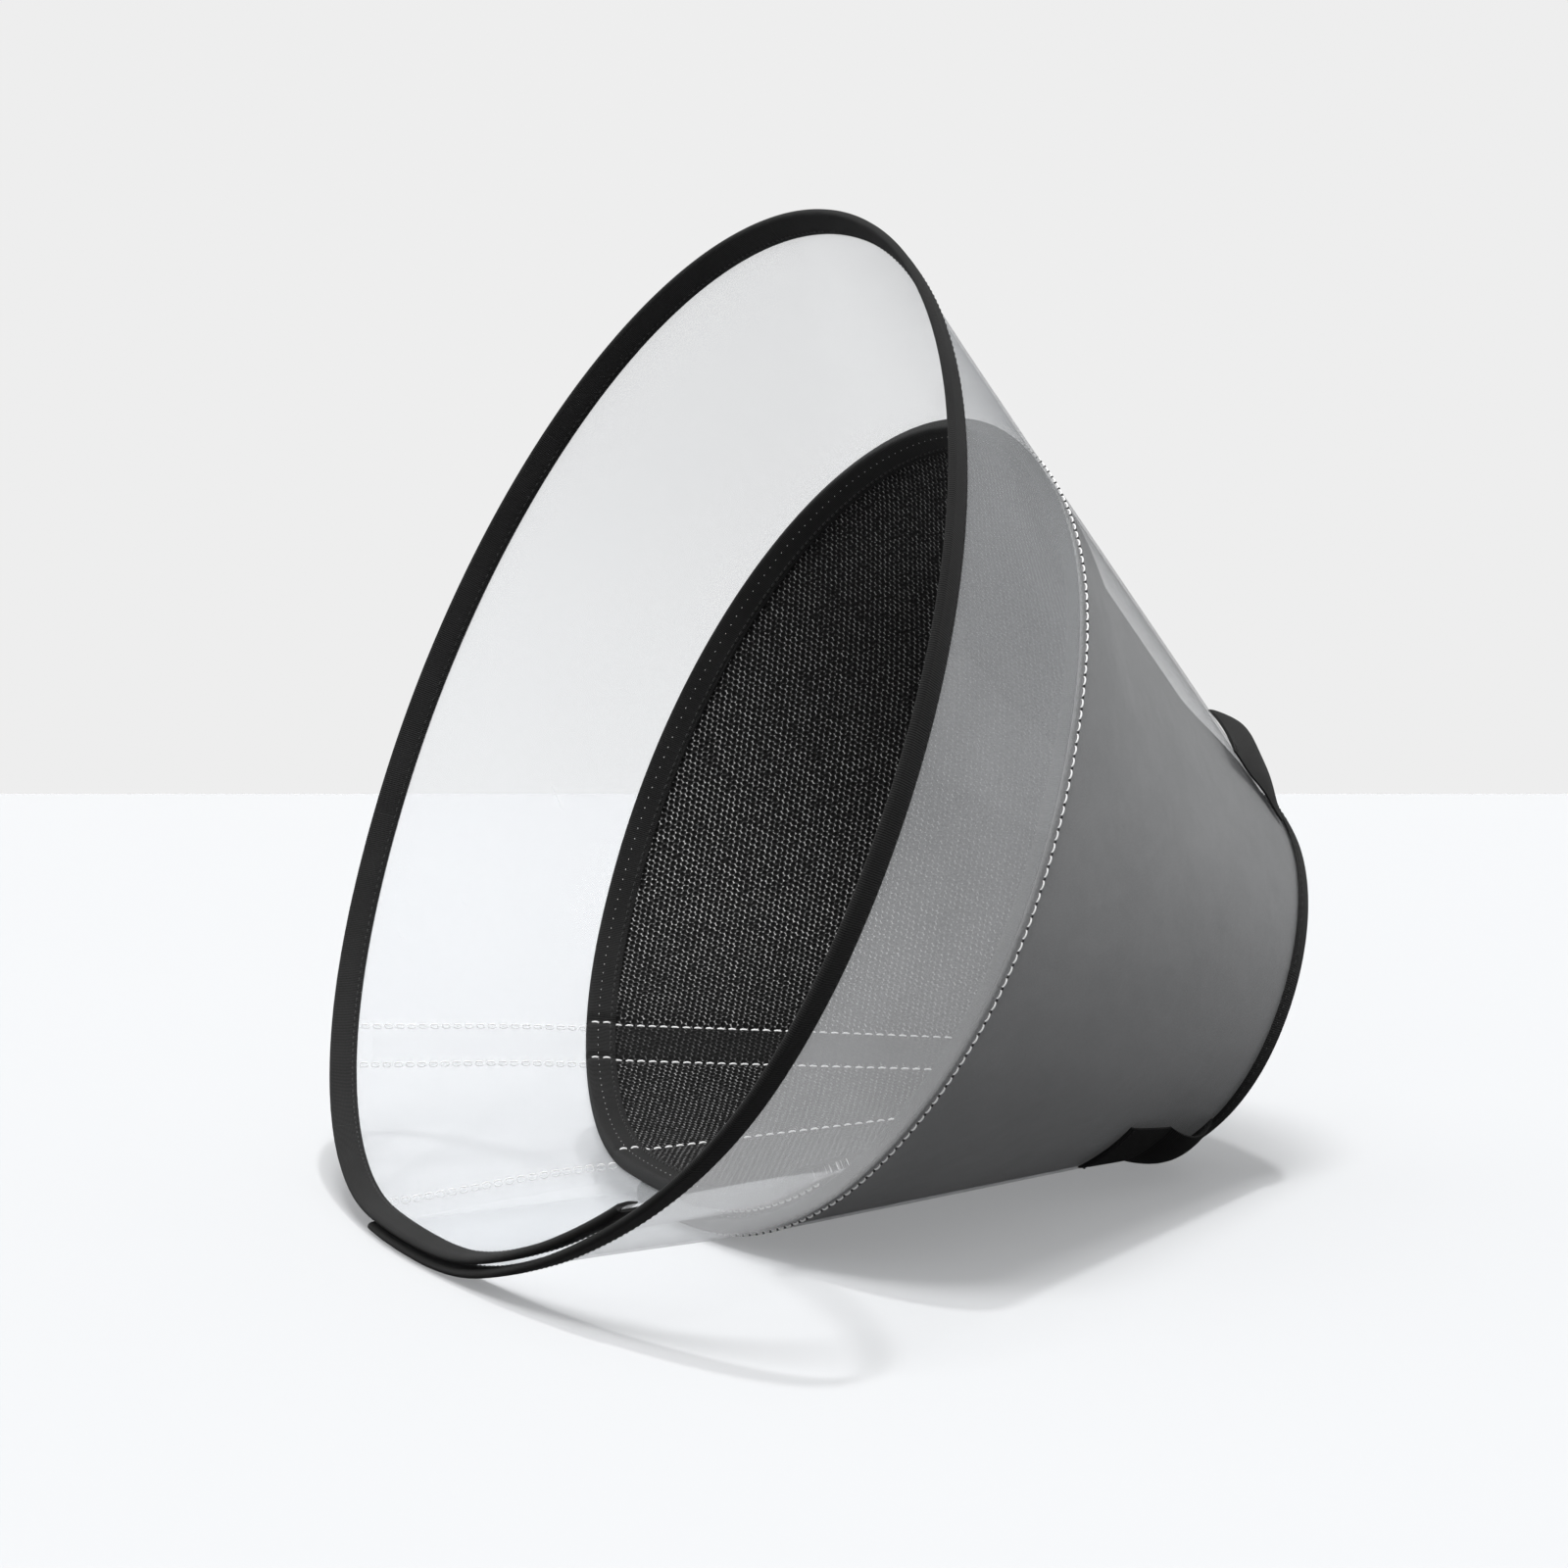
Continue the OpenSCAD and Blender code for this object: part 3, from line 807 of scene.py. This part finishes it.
# Two fastening strips on the inner flap: middle of each, as a turn, and its half width
STRIP_A, STRIP_B, STRIP_HALF = 312.25, 347.6, 9.6
STRIP_SEAMS = ((STRIP_A, -1.0, 2.0), (STRIP_A, 1.0, 2.0), (STRIP_B, -1.0, 0.4))  # turn, side, depth of the groove


def strip_turn(mid_turn, side, s):
    """Turn of a strip's edge at s: the strip has one width from neck to rim."""
    s = np.asarray(s, float)
    t = pattern(np.array([mid_turn]))[0] + side * STRIP_HALF / (s * D2R)
    grid = np.linspace(250.0, 400.0, 1500)
    return np.interp(t, pattern(grid), grid)


def seam_dip(ph, s):
    """How deep the strips' seams pull the lining in, in mm: a groove along each seam, shallow between a pair."""
    ph, s = np.asarray(ph, float), np.asarray(s, float)
    d = np.zeros(np.broadcast(ph, s).shape)
    for mid_turn, side, deep in STRIP_SEAMS:
        x = (pattern(ph) - pattern(np.array([mid_turn]))[0]) * D2R * s - side * STRIP_HALF
        d = np.maximum(d, deep * np.exp(-(x / 2.4) ** 2))
    x = (pattern(ph) - pattern(np.array([STRIP_A]))[0]) * D2R * s
    return np.maximum(d, 0.9 * smooth(x, -STRIP_HALF - 1, -STRIP_HALF + 2) * (1 - smooth(x, STRIP_HALF - 2, STRIP_HALF + 1)))


made = []


def build(kind, span, bag, mats, cad=True, name=None):
    obj, ph = bag.mesh((name or kind) + "_" + span[0], mats)
    attach(obj, span)
    if cad:
        stands_for(kind, span)
    made.append(obj)
    return obj


ROWS_SHEET = np.linspace(0, 1, 24)
ROWS_PANEL = np.linspace(0, 1, 30)

for span in SPANS:
    tag, a0, a1 = span[0], span[1], span[2]
    free0, free1 = tag == "base", tag == "flap"

    # clear sheet, rim to neck
    bag = Bag()
    layer(bag, steps(a0, a1, 1.0), S_NECK, S_RIM, ROWS_SHEET, 0.0, -0.8, cap0=1 if free0 else 2, cap1=1 if free1 else 2, edge_mat=1)
    build("clear_sheet", span, bag, [M_CLEAR, M_EDGE, M_NONE], name="film")

    # grey fabric and black mesh
    ph = panel_phs(span, 1.0)
    front = panel_front(span, ph)
    bag = Bag()
    layer(bag, ph, S_NECK, front, ROWS_PANEL, -0.9, -1.6, hang=True, cap0=0, cap1=0)
    build("outer_fabric", span, bag, [M_FABRIC], name="cloth")

    if tag in ("w7", "flap"):
        ph = panel_phs(span, 0.35)
        front = panel_front(span, ph)
    bag = Bag()
    layer(bag, ph, S_NECK, front, ROWS_PANEL, -1.7, lambda a, b: -4.6 + seam_dip(a, b), hang=True, cap0=0, cap1=0)
    obj = build("mesh_lining", span, bag, [M_MESH], name="lining")
    press = np.zeros(len(obj.data.vertices), np.float32)
    phv = np.concatenate(bag.ph)
    across = (pattern(phv) - pattern(np.array([STRIP_A]))[0]) * D2R * 275.0
    press += (smooth(across, -11.0, -9.0) * (1 - smooth(across, 9.0, 11.0))).astype(np.float32)
    att = obj.data.attributes.new("press", "FLOAT", "POINT")
    att.data.foreach_set("value", press)

    # rim tape, neck tape, tape on the panel's front edge
    rstep = 0.30
    bag = Bag()
    sweep(bag, steps(a0, a1, rstep), np.full(len(steps(a0, a1, rstep)), S_RIM + 0.1),
          tape_profile(8.6, 1.3, -2.1, 1.1, 1.6), pucker=puckers(3.1, 0.22, 7.2))
    build("rim_binding", span, bag, [M_TAPE], name="rim_tape")

    nph = steps(a0, a1, 0.8)
    bag = Bag()
    prof = [(-q, o) for q, o in tape_profile(7.0, 1.3, -5.9, 1.0, 1.6)]
    sweep(bag, nph, np.full(len(nph), S_NECK - 0.1), prof, pucker=puckers(3.1, 0.16, 5.8))
    build("neck_binding", span, bag, [M_TAPE], name="neck_tape")

    pph = panel_phs(span, 0.5)
    bag = Bag()
    jprof = [(-9.3, -5.35), (-9.2, -5.75), (-8.2, -5.85), (-6.4, -5.6), (-4.4, -5.85), (-2.2, -5.9), (-0.4, -5.9), (0.7, -5.6),
             (1.15, -4.9), (1.25, -3.6), (1.25, -1.8), (1.1, -1.1), (0.6, -0.95), (0.15, -1.05), (0.12, -1.8), (0.12, -3.4),
             (0.12, -4.5), (-0.6, -4.72), (-2.4, -4.72), (-4.4, -4.72), (-6.6, -4.72), (-8.4, -4.75), (-9.2, -4.95)]
    dense = panel_front(span, pph)
    sweep(bag, pph, dense, jprof, pucker=lambda run, q, o: seam_dip(pph, dense)[:, None] * smooth(-o, 3.5, 4.6))
    build("panel_binding", span, bag, [M_TAPE], name="panel_tape")

    # ---- stitching of this span
    def along_edge(pitch, s_mm, off=0.0):
        """Turns of evenly spaced stitches along the wall at s_mm."""
        x0, x1 = pattern(np.array([a0, a1])) * D2R * s_mm
        first = math.ceil((x0 - off) / pitch)
        last = math.floor((x1 - off) / pitch)
        xs = (np.arange(first, last + 1) * pitch + off)
        xs = xs[(xs >= x0 + 0.01) & (xs < x1 - 0.01)]
        grid = np.linspace(a0, a1, 400)
        return np.interp(xs / (D2R * s_mm), pattern(grid), grid)

    def keep_in(ph_, margin=2.5):
        lo = a0 + (margin if free0 else 0)
        hi = a1 - (margin if free1 else 0)
        return ph_[(ph_ > lo) & (ph_ < hi)]

    white, black = Bag(), Bag()
    # seam through the sheet and the panel's front edge, white, seen on both faces
    seam = keep_in(along_edge(4.1, 315.0), 3.2)
    stitches(white, seam, np.full(len(seam), 315.0), 0.05, 1.0, 0.0, 3.6, 0.29)
    # black thread bits at the needle holes between the white stitches: painted shade of the holes
    hole = keep_in(along_edge(4.1, 315.0, 2.05), 3.2)
    stitches(black, hole, np.full(len(hole), 315.05), 0.06, 1.0, 0.0, 0.75, 0.30)
    stitches(white, hole, np.full(len(hole), 315.0), -5.84 + seam_dip(hole, 315.0), 1.0, 0.0, 0.5, 0.10, flip=True)
    inner = keep_in(along_edge(3.0, 310.4), 3.2)
    stitches(black, inner, np.full(len(inner), 310.4), -5.72 + seam_dip(inner, 310.4), 1.0, 0.0, 2.1, 0.36, flip=True)
    # rim and neck tape rows, black on black
    r1 = keep_in(along_edge(3.1, 402.0), 0.6)
    stitches(black, r1, np.full(len(r1), 402.0), 0.95, 1.0, 0.0, 2.3, 0.24)
    stitches(black, r1, np.full(len(r1), 402.0), -1.75, 1.0, 0.0, 2.3, 0.24, flip=True)
    n1 = keep_in(along_edge(3.1, 147.6), 0.9)
    stitches(black, n1, np.full(len(n1), 147.6), 1.05, 1.0, 0.0, 2.2, 0.24)
    stitches(black, n1, np.full(len(n1), 147.6), -5.68, 1.0, 0.0, 2.2, 0.24, flip=True)
    # straight seams of the fastening strips, neck to rim
    for mid_turn, side, deep in STRIP_SEAMS:
        ss = np.arange(156.0, 399.0, 4.1)
        at = strip_turn(mid_turn, side, ss) + 0.04 * np.sin(ss * 0.05)
        ok = (at >= a0) & (at < a1)
        ss, at = ss[ok], at[ok]
        if not len(ss):
            continue
        stitches(white, at, ss, 0.95, 0.0, 1.0, 3.0, 0.25)
        m = ss > S_PAD + 1
        stitches(white, at[m], ss[m] + 0.2, -0.78, 0.0, 1.0, 2.9, 0.22, flip=True)
        m = ss < S_PAD - 10
        stitches(white, at[m], ss[m] + 0.2, deep - 4.58, 0.0, 1.0, 3.2, 0.34, flip=True)
        m = (ss >= S_PAD - 10) & (ss <= S_PAD + 1)
        stitches(white, at[m], ss[m] + 0.2, deep - 5.88, 0.0, 1.0, 3.1, 0.34, flip=True)
    if tag == "base":  # seam of the hook strip in the outer flap
        ss = np.arange(158, 303, 4.1)
        for pa in (-11.0, -5.2):
            stitches(white, ss * 0 + pa, ss, -5.62, 0.0, 1.0, 2.9, 0.25, flip=True)
    build("seam", span, white, [M_WHITE], cad=False, name="thread_white") if white.count else None
    build("seam", span, black, [M_BLACK], cad=False, name="thread_black") if black.count else None

# ------------------------------------------------------------------ strips and collar loops
SP = {s[0]: s for s in SPANS}


def strip(node, span, pa, pb, s0, s1, o1, o0):
    bag = Bag()
    layer(bag, np.linspace(pa, pb, 8), s0, s1, np.linspace(0, 1, 60), o1, o0, cap0=0, cap1=0)
    obj, ph = bag.mesh(node + "_tape", [M_STRIP])
    attach(obj, span)
    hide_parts(node)
    return obj


def parallel_strip(name, mid_turn, lo, hi, replaces=(), s0=154.0, s1=395.0, o1=0.85, o0=0.12, span_name="flap"):
    """A strip of one width, clipped to a span of turns."""
    span = SP[span_name]
    bag = Bag()
    ss = np.linspace(s0, s1, 70)
    a = np.clip(strip_turn(mid_turn, lo, ss), span[1], span[2])
    b = np.clip(strip_turn(mid_turn, hi, ss), span[1], span[2])
    k = np.linspace(0, 1, 9)
    PH = a[None, :] + (b - a)[None, :] * k[:, None]
    if np.abs(b - a).min() < 0.05:
        keep = (b - a) > 0.05
        ss, PH = ss[keep], PH[:, keep]
    S = np.broadcast_to(ss[None, :], PH.shape)
    nr, nc = S.shape
    q = quads(nr, nc)
    out, inn = place(PH, S, o1).reshape(-1, 3), place(PH, S, o0).reshape(-1, 3)
    no = face_dir(PH, S, o1).reshape(-1, 3)
    v = np.concatenate([out, inn])
    qo = q if outward_first(out, q, no[q]) else q[:, ::-1]
    uvp = flat_xy(PH, S).reshape(-1, 2)
    bag.add(v, np.concatenate([PH.ravel(), PH.ravel()]), np.concatenate([qo, qo[:, ::-1] + nr * nc]),
            np.concatenate([uvp[qo], uvp[qo[:, ::-1]]]), np.concatenate([no[qo], -no[qo[:, ::-1]]]))
    g = np.arange(nr * nc).reshape(nr, nc)
    for idx, ref in ((g[0], g[1]), (g[-1], g[-2]), (g[:, 0], g[:, 1]), (g[:, -1], g[:, -2])):
        w = np.stack([idx[:-1], idx[1:], idx[1:] + nr * nc, idx[:-1] + nr * nc], -1)
        p = [v[w[:, i]] for i in range(4)]
        gg = np.cross(p[2] - p[0], p[3] - p[1])
        if (gg * (v[idx[:-1]] - v[ref[:-1]])).sum() < 0:
            w, gg = w[:, ::-1], -gg
        gg /= np.maximum(np.linalg.norm(gg, axis=1), 1e-12)[:, None]
        bag.f.append(w)
        bag.uv.append(uvp[w % (nr * nc)])
        bag.n.append(np.repeat(gg[:, None], 4, 1))
        bag.m.append(np.zeros(len(w), int))
    obj, ph = bag.mesh(name, [M_STRIP])
    attach(obj, span)
    if replaces:
        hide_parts(*replaces)


strip("hook_strip", SP["base"], -11.4, -4.8, 154, 304, -4.75, -5.6)
parallel_strip("loop_strip_tight_tape", STRIP_B, -1.0, 1.0, ["loop_strip_tight"])
parallel_strip("loop_strip_loose_tape", STRIP_A, -1.0, 1.0, ["loop_strip_loose"], span_name="w7")


def collar_loop(node, span, mid, twist, lean, height, s0=S_NECK + 8.0, ln=44.0, eye_part=1.0):
    """A loop of tape sewn flat at both ends, standing off the wall between them."""
    half = 12.5 / (165 * D2R * math.sin(CONE))
    bag = Bag()
    na, nb = 15, 41
    x = np.linspace(-1, 1, na)
    u = np.linspace(0, 1, nb)
    X, U = np.meshgrid(x, u, indexing="ij")
    arch = np.sin(math.pi * np.clip(U / eye_part, 0, 1)) ** 0.8
    arch = np.maximum(arch, 0.22 * np.sin(math.pi * U) ** 0.5)
    rise = height * arch * (1 - 0.16 * X * X + 0.12 * twist * X)
    rise = rise + 0.35 * np.sin(U * 9 + X * 2.0) * arch
    PH = mid + X * half * (1 - 0.05 * arch)
    S = s0 + ln * U + lean * arch * X
    lo = place(PH, S, 0.3 + rise)
    thick = 1.0 - 0.35 * np.abs(X) ** 6
    hi = place(PH, S, 0.3 + rise + thick)
    top = hi
    v = np.concatenate([top.reshape(-1, 3), lo.reshape(-1, 3)])
    nrm_t = np.cross(np.gradient(top, axis=0), np.gradient(top, axis=1))
    nrm_t /= np.linalg.norm(nrm_t, axis=-1, keepdims=True)
    _, n = around(PH)
    if (nrm_t * n).sum() < 0:
        nrm_t = -nrm_t
    q = quads(na, nb)
    nf = nrm_t.reshape(-1, 3)
    if not outward_first(top.reshape(-1, 3), q, nf[q]):
        q = q[:, ::-1]
    uv = np.stack([U * ln * 1.1 * MM, X * 12.5 * MM], -1).reshape(-1, 2)
    k = na * nb
    g = np.arange(k).reshape(na, nb)
    sides = []
    for idx, ref in ((g[0], g[1]), (g[-1], g[-2]), (g[:, 0], g[:, 1]), (g[:, -1], g[:, -2])):
        w = np.stack([idx[:-1], idx[1:], idx[1:] + k, idx[:-1] + k], -1)
        p = [v[w[:, i]] for i in range(4)]
        gg = np.cross(p[2] - p[0], p[3] - p[1])
        if (gg * (v[idx[:-1]] - v[ref[:-1]])).sum() < 0:
            w = w[:, ::-1]
        sides.append(w)
    sides = np.concatenate(sides)
    bag.add(v, np.concatenate([PH.ravel(), PH.ravel()]), np.concatenate([q, q[:, ::-1] + k]),
            np.concatenate([uv[q], uv[q[:, ::-1]]]), np.concatenate([nf[q], -nf[q[:, ::-1]]]))
    bag.f.append(sides + 0)
    bag.uv.append(uv[sides % k])
    p = [v[sides[:, i]] for i in range(4)]
    gg = np.cross(p[2] - p[0], p[3] - p[1])
    gg /= np.maximum(np.linalg.norm(gg, axis=1), 1e-12)[:, None]
    bag.n.append(np.repeat(gg[:, None], 4, 1))
    bag.m.append(np.zeros(len(sides), int))
    obj, ph = bag.mesh(node + "_tape", [M_WEB])
    attach(obj, span)
    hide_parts(node)
    # bar tacks at both ends
    tb = Bag()
    for sa in (s0 + 1.2, s0 + ln - 1.2):
        xs = np.linspace(-0.9, 0.9, 13)
        stitches(tb, mid + xs * half, np.full(13, sa), 1.5, 1.0, 0.0, 1.5, 0.24)
    obj, ph = tb.mesh(node + "_tack", [M_BLACK])
    attach(obj, span)


collar_loop("collar_loop_near", SP["w1"], 46.0, 2.4, 1.5, 5.6, eye_part=0.55)
collar_loop("collar_loop_top", SP["w4"], 155.7, 6.6, 1.0, 4.2, s0=155.0, ln=38.0)
collar_loop("collar_loop_far", SP["w6"], 272.3, 0.5, -1.0, 6.8)

# ------------------------------------------------------------------ camera
AZ, EL, DIST, FPX, CX, CY, ROLL = -24.327, 10.0, 1776.0, 5327.0, 855.4, 860.7, -2.548
TARGET = np.array([160.0, 0.0, 120.0])
az, el, rl = AZ * D2R, EL * D2R, ROLL * D2R
back = np.array([math.sin(az) * math.cos(el), -math.cos(az) * math.cos(el), math.sin(el)])
right = np.array([math.cos(az), math.sin(az), 0.0])
up = np.cross(back, right)
r2, u2 = right * math.cos(rl) + up * math.sin(rl), up * math.cos(rl) - right * math.sin(rl)
eye = (TARGET + DIST * back) * MM
cam_data = bpy.data.cameras.new("camera")
cam_data.sensor_fit = "HORIZONTAL"
cam_data.sensor_width = 36.0
cam_data.lens = FPX * 36.0 / 1600.0
cam_data.shift_x = (800.0 - CX) / 1600.0
cam_data.shift_y = (CY - 800.0) / 1600.0
cam_data.clip_end = 50.0
cam_data.clip_start = 0.05
cam = bpy.data.objects.new("camera", cam_data)
bpy.context.scene.collection.objects.link(cam)
cam.matrix_world = Matrix(((r2[0], u2[0], back[0], eye[0]), (r2[1], u2[1], back[1], eye[1]),
                           (r2[2], u2[2], back[2], eye[2]), (0, 0, 0, 1)))
bpy.context.scene.camera = cam


def ray(px, py):
    d = -back + r2 * (px - CX) / FPX - u2 * (py - CY) / FPX
    return d / np.linalg.norm(d)


def on_floor(px, py):
    d = ray(px, py)
    return eye + d * (-eye[2] / d[2])


# ------------------------------------------------------------------ stage
def stage_material(name, seen, bounce, rough=0.9):
    """Pale matt surface. What the camera sees is pale; what it throws back on the object is softer."""
    k = Nodes(name)
    co = k.n("TexCoord").outputs[3]
    nz = k.noise(co, 3.0, 3.0)
    col = k.mixc(k.maprange(nz, 0.3, 0.7, 0.0, 1.0), seen, tuple(min(1.0, c * 1.004) for c in seen[:3]) + (1,))
    lp = k.n("LightPath")
    c2 = k.mixc(lp.outputs["Is Camera Ray"], bounce, col)
    bs = k.n("BsdfPrincipled", None, Base_Color=c2, Roughness=rough)
    bs.inputs["Specular IOR Level"].default_value = 0.0
    return k, bs


def one_sided(k, shader):
    """The stage is seen from its front only, so that it never hides the object from behind."""
    geo = k.n("NewGeometry")
    gone = k.n("BsdfTransparent", None, Color=(1, 1, 1, 1))
    return k.done(k.n("MixShader", None, **{"0": geo.outputs["Backfacing"], "1": shader, "2": gone.outputs[0]}).outputs[0])


def quad_plane(name, pts, mat, front):
    a, b, c = (np.asarray(p, float) for p in pts[:3])
    if np.cross(b - a, c - b) @ np.asarray(front, float) < 0:
        pts = pts[::-1]
    me = bpy.data.meshes.new(name)
    me.from_pydata([tuple(p) for p in pts], [], [(0, 1, 2, 3)])
    me.materials.append(mat)
    me.update()
    ob = bpy.data.objects.new(name, me)
    bpy.context.scene.collection.objects.link(ob)
    ob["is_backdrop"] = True
    return ob


k, bs = stage_material("floor_pale", (0.313, 0.317, 0.323, 1), (0.045, 0.045, 0.046, 1))
M_FLOOR = one_sided(k, bs.outputs[0])
A, B = on_floor(0, 810), on_floor(1600, 810)
mid, dirn = (A + B) / 2, (B - A) / np.linalg.norm(B - A)
awayv = np.array([-dirn[1], dirn[0], 0.0])
if awayv @ (-back) < 0:
    awayv = -awayv
floor = quad_plane("floor", [mid - dirn * 6 - awayv * 6, mid + dirn * 6 - awayv * 6, mid + dirn * 6 + awayv * 0.0, mid - dirn * 6 + awayv * 0.0], M_FLOOR, (0, 0, 1))

k = Nodes("wall_pale")
co = k.n("TexCoord").outputs[3]
nz = k.noise(co, 2.0, 2.0)
em = k.n("Emission", None, Color=k.mixc(nz, grey(237.6), grey(238.4)), Strength=1.0)
M_WALL = one_sided(k, em.outputs[0])
far_floor = quad_plane("floor_far", [mid - dirn * 6 + awayv * 0.0, mid + dirn * 6 + awayv * 0.0, mid + dirn * 6 + awayv * 8, mid - dirn * 6 + awayv * 8], M_FLOOR, (0, 0, 1))
wall = quad_plane("wall", [mid - dirn * 6, mid + dirn * 6, mid + dirn * 6 + np.array([0, 0, 6.0]), mid - dirn * 6 + np.array([0, 0, 6.0])], M_WALL, back)
for flag in ("visible_diffuse", "visible_glossy", "visible_shadow", "visible_volume_scatter"):
    setattr(wall, flag, False)

# ------------------------------------------------------------------ light
world = bpy.data.worlds.new("studio")
bpy.context.scene.world = world
world.use_nodes = True
wt = world.node_tree
wt.nodes.clear()
wo = wt.nodes.new("ShaderNodeOutputWorld")
bg = wt.nodes.new("ShaderNodeBackground")
tc = wt.nodes.new("ShaderNodeTexCoord")
sx = wt.nodes.new("ShaderNodeSeparateXYZ")
rp = wt.nodes.new("ShaderNodeValToRGB")
lpn = wt.nodes.new("ShaderNodeLightPath")
mx = wt.nodes.new("ShaderNodeMix")
mx.data_type = "RGBA"
wt.links.new(tc.outputs["Generated"], sx.inputs[0])
mr = wt.nodes.new("ShaderNodeMapRange")
mr.inputs[1].default_value, mr.inputs[2].default_value = -1.0, 1.0
wt.links.new(sx.outputs[2], mr.inputs[0])
wt.links.new(mr.outputs[0], rp.inputs[0])
els = rp.color_ramp.elements
stops = [(0.0, 0.02), (0.49, 0.04), (0.60, 0.22), (0.78, 0.64), (1.0, 0.98)]
els[0].position, els[0].color = stops[0][0], (stops[0][1],) * 3 + (1,)
els[1].position, els[1].color = stops[-1][0], (stops[-1][1],) * 3 + (1,)
for p, c in stops[1:-1]:
    e = els.new(p)
    e.color = (c, c, c, 1)
wt.links.new(lpn.outputs[0], mx.inputs[0])
wt.links.new(rp.outputs[0], mx.inputs[6])
mx.inputs[7].default_value = grey(238)
wt.links.new(mx.outputs[2], bg.inputs[0])
bg.inputs[1].default_value = 1.0
wt.links.new(bg.outputs[0], wo.inputs[0])


def sun(name, direction, strength, angle):
    d = bpy.data.lights.new(name, "SUN")
    d.energy = strength
    d.angle = angle * D2R
    o = bpy.data.objects.new(name, d)
    o.rotation_euler = Vector(direction).to_track_quat("Z", "Y").to_euler()
    bpy.context.scene.collection.objects.link(o)
    return o


# directions point from the object to the light. The front light shines on the object only, so that
# the floor shows the soft shadow of the light behind.
lit_object, lit_floor = bpy.data.collections.new("lit_object"), bpy.data.collections.new("lit_floor")
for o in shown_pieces():
    lit_object.objects.link(o)
for o in (floor, far_floor):
    lit_floor.objects.link(o)
lit_film = bpy.data.collections.new("lit_film")
for o in made:
    if o.name.startswith("film_"):
        lit_film.objects.link(o)
front = sun("light_front", Vector((-0.10, -0.42, 0.90)), 3.2, 40)
front.light_linking.receiver_collection = lit_object
front.visible_glossy = False
rear = sun("light_rear", Vector((0.22, 0.14, 1.0)), 1.74, 3)
over = sun("light_over", Vector((0.0, 0.0, 1.0)), 2.8, 22)
fill = sun("light_floor_fill", Vector((0.0, 0.0, 1.0)), 2.72, 20)
fill.data.use_shadow = False
for o in (rear, over, fill):
    o.light_linking.receiver_collection = lit_floor
# a broad light behind the clear wall shows its milkiness
glow = sun("light_through", Vector(tuple(-back * 0.8 + np.array([0, 0, 0.35]))), 2.6, 70)
glow.light_linking.receiver_collection = lit_film
glow.data.use_shadow = False
glow.visible_glossy = False

scene = bpy.context.scene
scene.view_settings.view_transform = "Standard"
scene.view_settings.look = "None"
scene.view_settings.exposure = 0.0
scene.view_settings.gamma = 1.0
scene.cycles.transparent_max_bounces = 48
scene.cycles.max_bounces = 10
scene.cycles.sample_clamp_indirect = 6.0
